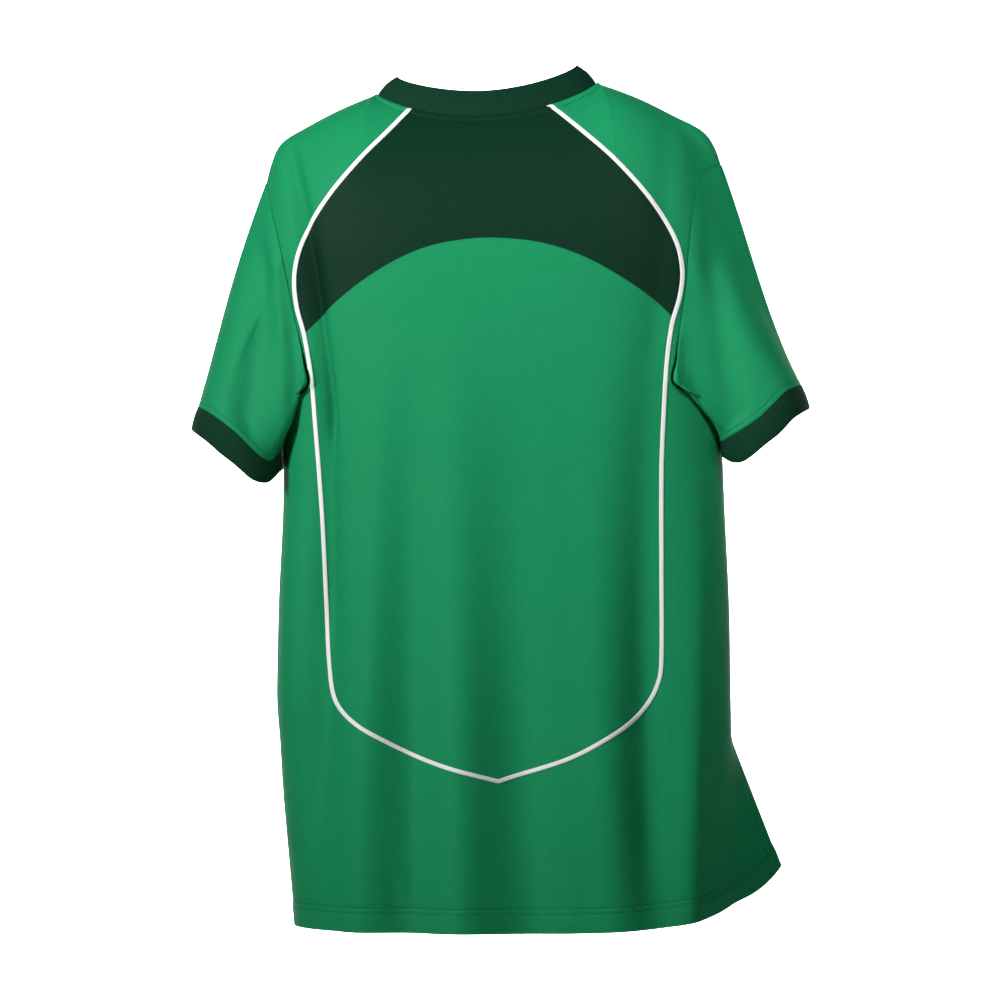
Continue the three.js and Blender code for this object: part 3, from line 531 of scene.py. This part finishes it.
def cuff_ring(shape, side, turn):
    tilt = math.radians(shape["tilt"])
    across = np.sign(np.cos(turn)) * np.abs(np.cos(turn)) ** 0.9
    out = shape["reach"] * across
    y = shape["depth"] * np.sign(np.sin(turn)) * np.abs(np.sin(turn)) ** 0.9
    drop = smooth(CUFF_DROP, "across", shape["drop"], across) * np.where(y < 0, FRONT_DROP, 1)
    return np.stack([shape["x"] + side * out * math.cos(tilt), y,
        shape["z"] + out * math.sin(tilt) - drop], -1)


def clear_body(points):
    x, y, z = np.moveaxis(points, -1, 0)
    shape = ring(z)
    folds = np.where(y > 0, fold_height(BACK_FOLDS, x, z), fold_height(FRONT_FOLDS, x, z))
    gap = SLEEVE_CLEARANCE + np.maximum(folds, 0)
    half_x = half_width(shape, x) + gap
    depth = np.where(y > 0, shape["back"], shape["front"]) + gap
    across = np.abs(x - shape["middle"]) / half_x
    away = (across ** ROUNDNESS + (np.abs(y) / depth) ** ROUNDNESS) ** (1 / ROUNDNESS)
    low = 1 - ease(z, UNDERARM_Z + 14, UNDERARM_Z + 45)
    stretch = np.where(away < 1, blend(1, 1 / np.maximum(away, 0.2), low), 1)
    return np.stack([shape["middle"] + (x - shape["middle"]) * stretch, y * stretch, z], -1)


def armhole_ring(side, column):
    shares = upper_shares[::-1]
    sides, columns = np.full(len(shares), side), np.full(len(shares), float(column))
    down = upper_points(columns, sides, BACK, shares)
    up = upper_points(columns, sides, FRONT, shares)[::-1]
    return np.concatenate([down, up[1:-1]])


def edge_normal_ring(side):
    at = -1 if side == LEFT else 0
    own = [grid_normals(base[face]["grid"], False)[base[face]["lower"]:, at] for face in (BACK, FRONT)]
    return np.concatenate([own[0][::-1], own[1][1:-1]])


def sleeve_grid(side):
    start, inside = armhole_ring(side, EDGE_COLUMN), armhole_ring(side, EDGE_COLUMN - 1)
    places = np.concatenate([LEVELS * (1 - upper_shares[::-1]), LEVELS + LEVELS * upper_shares[1:-1]])
    turns = places / (2 * LEVELS) * 2 * math.pi
    shape = CUFFS[side]["seam"]
    goal = cuff_ring(shape, side, turns)
    length = np.linalg.norm(goal - start, axis=-1)[:, None]
    along, straight = unit(start - inside), unit(goal - start)
    tilt = math.radians(shape["tilt"])
    endway = np.array([side * math.sin(tilt), 0, -math.cos(tilt)])
    leave = (along * CUFFS[side]["fullness"] + straight * LEAVE_STRAIGHT) * length
    arrive = (straight * ARRIVE_STRAIGHT + endway * ARRIVE_SQUARE) * length
    steps = np.concatenate([[0, 0.004, 0.009, 0.016], np.linspace(0.03, 0.93, 42),
        [0.95, 0.962, 0.972, 0.982, 0.99, 0.996, 1]])
    s = steps[:, None, None]
    grid = curve(s, start, goal, leave, arrive)
    outer = np.maximum(np.cos(turns), 0) * side * CUFFS[side]["bow"]
    grid[..., 0] += np.sin(s[..., 0] * math.pi) * outer
    grid[1:] = clear_body(grid[1:])
    around = np.abs(1 - 2 * places / (2 * LEVELS))
    lift = LAP * (0.4 + 0.6 * ease(around, 0, 0.12) - ease(around, 0.36, 0.48))
    lifted = edge_normal_ring(side) * lift[:, None]
    grid = grid + lifted * np.clip(1 - s * LAP_STEPS, 0, 1)
    return grid, steps, turns


def sleeve_relief(grid, steps, side):
    fade = (ease(steps, 0, 0.2) * (1 - ease(steps, 0.85, 1)))[:, None]
    height = SHARPER * fold_height(SLEEVE_FOLDS[side], grid[..., 0], grid[..., 2])
    y = grid[..., 1]
    return np.where(y > 0, height, FRONT_SLEEVE * height) * fade * ease(np.abs(y), 5, 25)


def seam_distance(grid):
    across = distances(grid, 1)
    return np.minimum(across, across[:, -1:] - across)


sleeves = {}
for side, name in ((LEFT, "left"), (RIGHT, "right")):
    grid, steps, turns = sleeve_grid(side)
    underarm = len(upper_shares) - 1
    grid, turns = np.roll(grid, -underarm, axis=1), np.roll(turns, -underarm)
    smooth_end = grid[-1].copy()
    up = distances(grid, 0)
    to_cuff = up[-1:] - up
    height = sleeve_relief(grid, steps, side) + groove(up) + groove(to_cuff)
    height = height + groove(seam_distance(grid)) + groove(to_cuff, CUFF_LINE, depth=0.4)
    grid = grid + grid_normals(grid, True) * height[..., None]
    normals = grid_normals(grid, True)
    pieces[f"sleeve_{name}"] = make_shell(f"sleeve_{name}_shell", grid, normals, WALL, True)
    sleeves[side] = {"grid": grid, "normals": normals, "to_cuff": to_cuff}
    rows = np.array([0, 0.02, 0.05, 0.1, *np.linspace(0.16, 0.9, 11), 0.95, 0.99])[:, None, None]
    cuff = blend(smooth_end, cuff_ring(CUFFS[side]["end"], side, turns), rows)
    cuff[1:] = clear_body(cuff[1:])
    sleeve_way, inside = unit(grid[-6] - grid[-1]), normals[-1] * -CUFF_INSIDE
    tucked = [smooth_end + sleeve_way * reach + inside for reach in CUFF_TUCK]
    cuff = np.concatenate([np.array(tucked), cuff])
    up = distances(cuff, 0)
    bulge = CUFF_BULGE * np.sin(np.clip((up - up[2]) / (up[-1:] - up[2]), 0, 1) * math.pi)
    height = bulge + groove(seam_distance(cuff))
    cuff = cuff + grid_normals(cuff, True) * height[..., None]
    normals = grid_normals(cuff, True)
    pieces[f"cuff_{name}"] = make_shell(f"cuff_{name}_rib", cuff, normals, RIB_WALL, True,
        round_last=True)

# %% [markdown]
# ## The collar
# A strip of rib knit, folded in two and stretched as it is sewn on, so it leans in towards the neck
# and more so at the sides. Its upper edge is the fold, which is round. Like the cuffs, it starts
# with two rows of points under the cloth that it is sewn to.

# %% Collar grid and shell
COLLAR = {"height": 24, "lean": 18, "sideLean": 47, "bow": 1.8, "tuck": (3, 0.6), "inside": 1.7}
UPRIGHT = np.array([0, 0, 1])


def collar_grid():
    near = np.abs(signed) <= NECK_COLUMN + 1e-6
    column, side = np.abs(signed[near]), np.where(signed[near] < 0, RIGHT, LEFT)
    seams = [np.stack(top_point(column, side, face), -1) for face in (BACK, FRONT)]
    seam = np.concatenate([seams[0], seams[1][::-1][1:-1]])
    share = np.array([0, 0.03, 0.07, 0.12, *np.linspace(0.18, 0.95, 14)])[:, None]
    aside = np.abs(seam[:, 0]) / NECK["half"]
    lean = np.radians(blend(COLLAR["lean"], COLLAR["sideLean"], aside ** 3))
    inward = unit(np.stack([-seam[:, 0], NECK["y"] - seam[:, 1], 0 * aside], -1))
    bow = np.sin(share * math.pi) * COLLAR["bow"]
    flat = COLLAR["height"] * share * np.sin(lean) - bow * np.cos(lean)
    tall = COLLAR["height"] * share * np.cos(lean) + bow * np.sin(lean)
    grid = seam + inward * flat[..., None] + tall[..., None] * UPRIGHT
    steepness = np.radians(55 - 35 * aside ** 2)[:, None]
    down = -inward * np.cos(steepness) - UPRIGHT * np.sin(steepness)
    under = inward * np.sin(steepness) - UPRIGHT * np.cos(steepness)
    tucked = [seam + down * reach + under * COLLAR["inside"] for reach in COLLAR["tuck"]]
    return np.concatenate([np.array(tucked), grid])


grid = collar_grid()
pieces["collar"] = make_shell("collar_rib", grid, grid_normals(grid, True), COLLAR_WALL, True,
    round_last=True)

# %% [markdown]
# ## The piping
# A flat white tape is sewn down along the border of the back panel. We walk along its centre line,
# drop seven points across its width onto the cloth and lift them off it, least at the two edges.

# %% Tape on the back
PIPING_WIDTH, PIPING_STEP, SEAM_MARGIN, NECK_MARGIN = 3.8, 3, 1.2, 0.8
ACROSS_TAPE = (-1, -0.9, -0.5, 0, 0.5, 0.9, 1)
EDGE_LIFT, TAPE_LIFT, CROWN_LIFT = 0.25, 0.75, 0.15
NOWHERE = 1e9
back_tree = BVHTree.FromPolygons(
    [Vector(v) for v in back["grid"].reshape(-1, 3)],
    [[r * len(signed) + c, r * len(signed) + c + 1, (r + 1) * len(signed) + c + 1,
        (r + 1) * len(signed) + c]
        for r in range(len(back["grid"]) - 1) for c in range(len(signed) - 1)])


def on_back(x, z):
    hit, normal, _, _ = back_tree.ray_cast(Vector((x, 300, z)), Vector((0, -1, 0)))
    if hit is None:
        hit, normal, _, _ = back_tree.find_nearest(Vector((x, 100, z)))
    return np.array(hit), np.array(normal) * (1 if normal.y > 0 else -1)


def armhole_x(side, z):
    shoulder = top_point(np.array([float(EDGE_COLUMN)]), np.array([side]), BACK)[2][0]
    rise = (z - UNDERARM_Z) / (shoulder - UNDERARM_Z)
    keep = (ARMHOLES["rise"] >= 0.045) & (ARMHOLES["rise"] < 1)
    rows = {key: column[keep] for key, column in ARMHOLES.items()}
    if rise < rows["rise"][0]:
        return NOWHERE
    return float(smooth(rows, "rise", "backLeft" if side == LEFT else "backRight", rise))


def even_path(rows, step):
    points = np.stack([rows["x"], rows["z"]], -1)
    lengths = np.concatenate([[0], np.cumsum(np.linalg.norm(np.diff(points, axis=0), axis=-1))])
    knots = {"t": lengths, "x": points[:, 0], "z": points[:, 1]}
    at = np.linspace(0, lengths[-1], int(lengths[-1] / step) + 1)
    return np.stack([smooth(knots, "t", "x", at), smooth(knots, "t", "z", at)], -1)


def neck_z(x):
    column = math.asin(min(abs(x) / NECK["half"], 1)) / (math.pi / 2) * NECK_COLUMN
    return top_point(np.array([column]), np.array([LEFT if x > 0 else RIGHT]), BACK)[2][0]


def piping_path():
    left, right = (even_path(PIPING[side], PIPING_STEP) for side in (LEFT, RIGHT))
    return np.concatenate([left, right[::-1][1:]])


path = piping_path()
way = unit(np.gradient(path, axis=0))
square = np.stack([-way[:, 1], way[:, 0]], -1)
tape_rows = []
for centre, away in zip(path, square):
    side = LEFT if centre[0] > PIPING_TIP_X else RIGHT
    limit = armhole_x(side, centre[1]) - SEAM_MARGIN
    row = []
    for share in ACROSS_TAPE:
        x, z = centre + away * share * PIPING_WIDTH / 2
        x = side * min(side * x, limit)
        place, normal = on_back(x, min(z, neck_z(x) - NECK_MARGIN))
        lift = EDGE_LIFT if abs(share) == 1 else TAPE_LIFT + CROWN_LIFT * (1 - abs(share))
        row.append(place + normal * lift)
    tape_rows.append(row)
tape = np.array(tape_rows)
tape_normals = grid_normals(tape, False, toward=(0, 1, 0))
pieces["piping"] = make_shell("piping_tape", tape, tape_normals, TAPE_WALL, False)

# %% [markdown]
# ## Stitches
# A stitch is the same few faces hundreds of times, so Geometry Nodes set them: the tree walks along
# a line on the cloth, puts a short thread at each step, turned to the line and to the cloth's
# normal, and makes them real at the end. Its inputs are the pitch, the length and the thread.

# %% The stitching tree


def add_node(tree, kind, settings=None, values=None):
    node = tree.nodes.new(kind)
    for key, value in (settings or {}).items():
        setattr(node, key, value)
    for key, value in (values or {}).items():
        if isinstance(value, bpy.types.NodeSocket):
            tree.links.new(value, node.inputs[key])
        else:
            node.inputs[key].default_value = value
    return node


def stitching_tree():
    tree = bpy.data.node_groups.new("stitching", "GeometryNodeTree")
    face = tree.interface
    face.new_socket("Geometry", in_out="INPUT", socket_type="NodeSocketGeometry")
    for name, value in (("Pitch", 0.003), ("Length", 0.0024), ("Thread", 0.00025), ("Rise", 0.0003)):
        face.new_socket(name, in_out="INPUT", socket_type="NodeSocketFloat").default_value = value
    face.new_socket("Material", in_out="INPUT", socket_type="NodeSocketMaterial")
    face.new_socket("Geometry", in_out="OUTPUT", socket_type="NodeSocketGeometry")
    source = add_node(tree, "NodeGroupInput").outputs
    line = add_node(tree, "GeometryNodeMeshToCurve", values={"Mesh": source["Geometry"]})
    steps = add_node(tree, "GeometryNodeResampleCurve", {"mode": "LENGTH"},
        {"Curve": line.outputs[0], "Length": source["Pitch"]})
    half = add_node(tree, "ShaderNodeMath", {"operation": "MULTIPLY"}, {0: source["Length"], 1: 0.5})
    less = add_node(tree, "ShaderNodeMath", {"operation": "MULTIPLY"}, {0: half.outputs[0], 1: -1.0})
    ends = [add_node(tree, "ShaderNodeCombineXYZ", values={"X": end.outputs[0]}) for end in (less, half)]
    crest = add_node(tree, "ShaderNodeCombineXYZ", values={"Z": source["Rise"]})
    arc = add_node(tree, "GeometryNodeCurveQuadraticBezier", values={"Resolution": 4,
        "Start": ends[0].outputs[0], "Middle": crest.outputs[0], "End": ends[1].outputs[0]})
    profile = add_node(tree, "GeometryNodeCurvePrimitiveCircle",
        values={"Resolution": 5, "Radius": source["Thread"]})
    thread = add_node(tree, "GeometryNodeCurveToMesh", values={"Curve": arc.outputs[0],
        "Profile Curve": profile.outputs[0], "Fill Caps": True})
    out = add_node(tree, "GeometryNodeInputNamedAttribute", {"data_type": "FLOAT_VECTOR"},
        {"Name": "out"})
    way = add_node(tree, "GeometryNodeInputTangent")
    turn = add_node(tree, "FunctionNodeAxesToRotation", {"primary_axis": "Z", "secondary_axis": "X"},
        {"Primary Axis": out.outputs["Attribute"], "Secondary Axis": way.outputs[0]})
    spread = add_node(tree, "GeometryNodeInstanceOnPoints", values={"Points": steps.outputs[0],
        "Instance": thread.outputs[0], "Rotation": turn.outputs[0]})
    real = add_node(tree, "GeometryNodeRealizeInstances", values={"Geometry": spread.outputs[0]})
    dyed = add_node(tree, "GeometryNodeSetMaterial",
        values={"Geometry": real.outputs[0], "Material": source["Material"]})
    goal = add_node(tree, "NodeGroupOutput")
    tree.links.new(dyed.outputs[0], goal.inputs[0])
    return tree


STITCHING = stitching_tree()


def level_line(grid, normals, field, value, keep=None):
    points, outs = [], []
    for column in range(grid.shape[1]):
        crossed = np.nonzero((field[:-1, column] - value) * (field[1:, column] - value) <= 0)[0]
        if len(crossed) == 0 or (keep is not None and not keep[column]):
            continue
        row = crossed[0]
        low, high = field[row, column], field[row + 1, column]
        share = (value - low) / (high - low) if high != low else 0
        points.append(blend(grid[row, column], grid[row + 1, column], share))
        outs.append(unit(blend(normals[row, column], normals[row + 1, column], share)))
    return np.array(points), np.array(outs)


def sew(name, lines, material, pitch=3.0, length=2.3, thread=0.26, closed=False):
    places, outs, edges = [], [], []
    for points, normals in lines:
        first, count = len(places), len(points)
        places += [tuple(p / 1000) for p in points + normals * 0.05]
        outs += [tuple(n) for n in normals]
        edges += [(first + k, first + k + 1) for k in range(count - 1)]
        if closed:
            edges.append((first + count - 1, first))
    mesh = bpy.data.meshes.new(name + "_line")
    mesh.from_pydata(places, edges, [])
    mesh.attributes.new("out", "FLOAT_VECTOR", "POINT").data.foreach_set("vector", np.ravel(outs))
    line = add_object(name + "_line", mesh)
    modifier = line.modifiers.new("stitching", "NODES")
    modifier.node_group = STITCHING
    sockets = {item.name: item.identifier for item in STITCHING.interface.items_tree
        if item.in_out == "INPUT"}
    for key, value in (("Pitch", pitch), ("Length", length), ("Thread", thread), ("Rise", 0.3)):
        modifier[sockets[key]] = value / 1000
    modifier[sockets["Material"]] = material
    evaluated = line.evaluated_get(bpy.context.evaluated_depsgraph_get())
    made = bpy.data.meshes.new_from_object(evaluated)
    made.shade_smooth()
    piece = add_object(name, made)
    bpy.data.objects.remove(line)
    print(f"{name}: {len(made.polygons)} faces")
    return piece


# %% [markdown]
# ## Shader maths
# A small class wraps a socket, so a pattern reads as a sum: each operator adds one Math node, and
# `waves` makes a sine of a given pitch. Other nodes come from one method that takes the node's
# type, its settings and its values.

# %% A material that can be written as expressions


class Flow:
    def __init__(self, dye, socket):
        self.dye, self.socket = dye, socket

    def maths(self, operation, *others):
        values = dict(enumerate([self, *others]))
        return self.dye.add("ShaderNodeMath", {"operation": operation}, values)

    def __add__(self, other):
        return self.maths("ADD", other)

    def __mul__(self, other):
        return self.maths("MULTIPLY", other)

    def waves(self, pitch):
        return (self * (2 * math.pi / pitch)).maths("SINE")

    def over(self, low, high):
        return self.dye.add("ShaderNodeMapRange", {"interpolation_type": "SMOOTHSTEP"},
            {"Value": self, "From Min": low, "From Max": high})


class Dye:
    def __init__(self, name, roughness, sheen):
        self.material = bpy.data.materials.new(name)
        self.material.use_nodes = True
        self.tree = self.material.node_tree
        self.cloth = self.tree.nodes["Principled BSDF"]
        self.cloth.inputs["Roughness"].default_value = roughness
        self.cloth.inputs["Sheen Weight"].default_value = sheen
        self.cloth.inputs["Sheen Roughness"].default_value = 0.45
        self.cloth.inputs["Specular IOR Level"].default_value = 0.06

    def add(self, kind, settings=None, values=None, output=0):
        plain = {key: value.socket if isinstance(value, Flow) else value
            for key, value in (values or {}).items()}
        return Flow(self, add_node(self.tree, kind, settings, plain).outputs[output])

    def across_and_up(self):
        uv = self.add("ShaderNodeUVMap", {"uv_map": "cloth"})
        split = add_node(self.tree, "ShaderNodeSeparateXYZ", values={0: uv.socket})
        return Flow(self, split.outputs[0]), Flow(self, split.outputs[1]), uv

    def value_of(self, name):
        return self.add("ShaderNodeAttribute", {"attribute_name": name}, output="Fac")

    def noise(self, vector, scale, detail=3):
        return self.add("ShaderNodeTexNoise", None,
            {"Vector": vector, "Scale": scale, "Detail": detail, "Roughness": 0.55}, "Fac")

    def mix(self, share, first, second):
        node = add_node(self.tree, "ShaderNodeMix", {"data_type": "RGBA"})
        for socket, value in ((0, share), (6, first), (7, second)):
            if isinstance(value, Flow):
                self.tree.links.new(value.socket, node.inputs[socket])
            else:
                node.inputs[socket].default_value = value
        return Flow(self, node.outputs[2])

    def finish(self, colour, height):
        self.tree.links.new(colour.socket, self.cloth.inputs["Base Color"])
        bump = self.add("ShaderNodeBump", None, {"Height": height, "Distance": 1.0,
            "Strength": 1.0}, "Normal")
        self.tree.links.new(bump.socket, self.cloth.inputs["Normal"])
        return self.material


def srgb(red, green, blue):
    linear = [(v / 255 / 12.92) if v <= 10 else ((v / 255 + 0.055) / 1.055) ** 2.4
        for v in (red, green, blue)]
    return (*linear, 1.0)


# %% [markdown]
# ## Knit, rib and tape
# The shirt's knit is a fine, matt grid of wales and courses, about 2 mm apart. The grid changes
# height a little and carries painted shade in its hollows, and a slow noise varies its tone and keeps
# it from looking printed. Collar and cuffs are a 1x1 rib: upright ridges, with painted shade between
# them. The tape's ribs and the thread's twist carry painted shade in their grooves. Pitches are in
# metres.

# %% Materials of cloth, tape and thread
PITCH = {"wale": 0.0019, "course": 0.0021, "rib": 0.0021, "loop": 0.0014, "tape": 0.0011}
BORDER = 0.35  # half the width in mm over which the yoke's colour changes


def knit(name, light, shade, dark=None):
    dye = Dye(name, 0.6, 0.0)
    across, up, uv = dye.across_and_up()
    grain = (across.waves(PITCH["wale"]) + up.waves(PITCH["course"])) * 0.25 + 0.5
    cloud = dye.noise(uv, 260)
    slow = dye.noise(uv, 22)
    # Painted shade in the grid's hollows plus tone from the noise that differs at random: this share
    # mixes the shade colour with the lit one.
    share = grain * 0.6 + cloud * 0.3 + slow * 0.1
    colour = dye.mix(share, shade, light)
    if dark:
        yoke_light, yoke_shade = dark
        yoke = dye.mix(share, yoke_shade, yoke_light)
        above = dye.value_of("above_arc").over(-BORDER, BORDER)
        inside = dye.value_of("inside_piping").over(-BORDER, BORDER)
        colour = dye.mix(above * inside, colour, yoke)
    return dye.finish(colour, grain * 0.00009 + cloud * 0.00016)


def rib(name, light, shade):
    dye = Dye(name, 0.65, 0.0)
    across, up, uv = dye.across_and_up()
    ridge = across.waves(PITCH["rib"]) * 0.5 + 0.5
    loops = up.waves(PITCH["loop"]) * 0.5 + 0.5
    cloud = dye.noise(uv, 300)
    # Painted shade between the ridges, with tone from the noise that differs at random.
    colour = dye.mix(ridge * 0.55 + cloud * 0.45, shade, light)
    return dye.finish(colour, ridge * 0.0003 + ridge * loops * 0.0001 + cloud * 0.0001)


def tape_weave(name, light, shade):
    dye = Dye(name, 0.5, 0.1)
    _, up, uv = dye.across_and_up()
    ribs = up.waves(PITCH["tape"]) * 0.5 + 0.5
    cloud = dye.noise(uv, 400)
    # Painted shade between the tape's ribs, with tone from the noise that differs at random.
    return dye.finish(dye.mix(ribs * 0.4 + cloud * 0.6, shade, light), ribs * 0.00006)


def thread(name, light, shade):
    dye = Dye(name, 0.55, 0.1)
    place = dye.add("ShaderNodeTexCoord", output="Object")
    twist = dye.add("ShaderNodeTexWave", None, {"Vector": place, "Scale": 900.0}, "Fac")
    # Painted shade in the grooves of the twist.
    return dye.finish(dye.mix(twist, shade, light), twist * 0.00005)


# Each dye is given as a lit colour and a darker colour of painted shade, which its pattern mixes.
GREEN, GREEN_SHADE = srgb(26, 140, 90), srgb(14, 110, 69)
DARK, DARK_SHADE = srgb(10, 50, 35), srgb(3, 31, 18)
green_back = knit("green_knit_back", GREEN, GREEN_SHADE, (DARK, DARK_SHADE))
green = knit("green_knit_plain", GREEN, GREEN_SHADE)
# The rib's lit colour and its colour of painted shade.
dark_rib = rib("dark_rib_knit", srgb(13, 56, 38), srgb(5, 38, 24))
white_tape = tape_weave("white_piping_tape", srgb(234, 232, 233), srgb(216, 214, 215))
green_thread = thread("green_sewing_thread", srgb(8, 108, 62), srgb(4, 84, 46))
dark_thread = thread("dark_sewing_thread", srgb(6, 38, 25), srgb(3, 28, 18))

# %% Materials on the shells
for name, piece in pieces.items():
    material = {"back": green_back, "piping": white_tape, "collar": dark_rib,
        "cuff_left": dark_rib, "cuff_right": dark_rib}.get(name, green)
    piece.data.materials.append(material)
    print(f"{piece.name}: {material.name}")

# %% [markdown]
# ## Lines of stitches
# Two lines hold the hem's turned-up layer. One line holds the neck's seam allowance, in green on
# the shoulders and dark on the yoke, and one runs beside each cuff seam.

# %% Sewing
hem_lines = []
for panel in (back, front):
    for height in HEM_LINES:
        hem_lines.append(level_line(panel["grid"], panel["normals"], panel["up"], height))
stitches = [sew("hem_stitches", hem_lines, green_thread)]

near_neck = np.abs(signed) <= NECK_COLUMN - 0.1
back_line, front_line = (
    level_line(panel["grid"], panel["normals"], panel["from_neck"], NECK_LINE, near_neck)
    for panel in (back, front))
in_yoke = (piping_x(LEFT, back_line[0][:, 2]) > back_line[0][:, 0]) & (
    piping_x(RIGHT, back_line[0][:, 2]) < back_line[0][:, 0])
first, last = np.nonzero(in_yoke)[0][[0, -1]]
yoke_line = tuple(part[first:last + 1] for part in back_line)
sides = [tuple(part[:first] for part in back_line), tuple(part[last + 1:] for part in back_line)]
stitches.append(sew("yoke_stitches", [yoke_line], dark_thread, 2.6, 2.0))
stitches.append(sew("neck_stitches", [*sides, front_line], green_thread, 2.6, 2.0))
for side, name in ((LEFT, "left"), (RIGHT, "right")):
    sleeve = sleeves[side]
    ring_line = level_line(sleeve["grid"], sleeve["normals"], sleeve["to_cuff"], CUFF_LINE)
    stitches.append(sew(f"cuff_stitches_{name}", [ring_line], green_thread, 2.6, 2.0, closed=True))

# %% [markdown]
# ## Hanging each piece on the body
# Each shell stands for its solid, which is hidden, and rides on the one body. Every shell is a sheet of
# cloth; the table lists the flat size that a cutter would lay out for each of them but the piping.

# %% Rides on the body
CUT = {
    "back": ((0.56, 0.77), 0.335), "front": ((0.56, 0.77), 0.325),
    "sleeve_left": ((0.46, 0.25), 0.0435), "sleeve_right": ((0.46, 0.26), 0.0505),
    "cuff_left": ((0.355, 0.027), None), "cuff_right": ((0.36, 0.0255), None),
    "collar": ((0.52, 0.031), None),
}


for name, piece in pieces.items():
    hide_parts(name)
    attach(piece, "root")
    if name not in CUT:
        continue
    [pieces["piping"]] if name == "back" else ()
for piece in stitches:
    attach(piece, "root")

# %% [markdown]
# ## Light, floor and camera
# The photo is lit from the wearer's left and its ground is white. A key light from that side grows
# weaker down the shirt; faint lights from the other side reach the right shoulder, the right sleeve
# and the folds. A long lens from 4.2 m keeps the shirt's outline as flat as in the photo.

# %% Floor and backdrop
FLOOR_Z, BEND, WALL_Y, HALF_SWEEP = -1.25, 1.2, -6.0, 7
backdrop = bpy.data.meshes.new("studio_sweep")
profile = [(6.0, FLOOR_Z), *[(WALL_Y + BEND - BEND * math.sin(a), FLOOR_Z + BEND * (1 - math.cos(a)))
    for a in np.linspace(0, math.pi / 2, 12)], (WALL_Y, 5.0)]
corners = [(x, y, z) for y, z in profile for x in (-HALF_SWEEP, HALF_SWEEP)]
backdrop.from_pydata(corners, [], [(2 * k, 2 * k + 1, 2 * k + 3, 2 * k + 2)
    for k in range(len(profile) - 1)])
backdrop.shade_smooth()
sweep = add_object("studio_sweep", backdrop)
paper = bpy.data.materials.new("white_paper")
paper.use_nodes = True
paper_inputs = paper.node_tree.nodes["Principled BSDF"].inputs
paper_inputs["Base Color"].default_value = (0.95, 0.95, 0.95, 1)
paper_inputs["Roughness"].default_value = 0.9
backdrop.materials.append(paper)

# %% Lights
world = bpy.data.worlds.new("pale_room")
bpy.context.scene.world = world
world.use_nodes = True
room_inputs = world.node_tree.nodes["Background"].inputs
room_inputs["Color"].default_value = (1, 1, 1, 1)
room_inputs["Strength"].default_value = 0.07


def area_light(name, place, aim, size, power, spread):
    lamp = bpy.data.lights.new(name, "AREA")
    lamp.shape, lamp.size, lamp.energy = "DISK", size, power
    lamp.spread = math.radians(spread)
    light = add_object(name, lamp)
    light.location = place
    light.rotation_euler = (Vector(aim) - Vector(place)).to_track_quat("-Z", "Y").to_euler()
    print(f"{name}: {power} W")


area_light("key", (2.3, 2.3, 0.8), (-0.18, 0, -0.02), 0.8, 10.0, spread=44)
area_light("shoulder_light", (-1.4, 2.6, 1.5), (-0.22, 0, 0.25), 0.8, 3.4, spread=36)
area_light("sleeve_light", (-3.0, 1.7, 0.3), (-0.27, 0, -0.16), 0.5, 0.17, spread=12)
area_light("fill", (-1.6, 3.2, 0.3), (0, 0, -0.35), 2.5, 2.4, spread=180)
area_light("backdrop_wash", (0, -2.6, 3.4), (0, -6, -0.7), 2.4, 420, spread=100)

# %% Camera
SENSOR, DISTANCE, PHOTO_WIDTH = 36, 4.2, 0.88
PHOTO_CENTRE = (-0.01144, -0.359)
camera = add_object("camera", bpy.data.cameras.new("camera"))
camera.data.sensor_width = SENSOR
camera.data.lens = SENSOR * DISTANCE / PHOTO_WIDTH
camera.location = (PHOTO_CENTRE[0], DISTANCE, PHOTO_CENTRE[1])
camera.rotation_euler = (math.pi / 2, 0, math.pi)
bpy.context.scene.camera = camera
bpy.context.scene.view_settings.view_transform = "Standard"
print(f"lens: {camera.data.lens:.0f} mm")
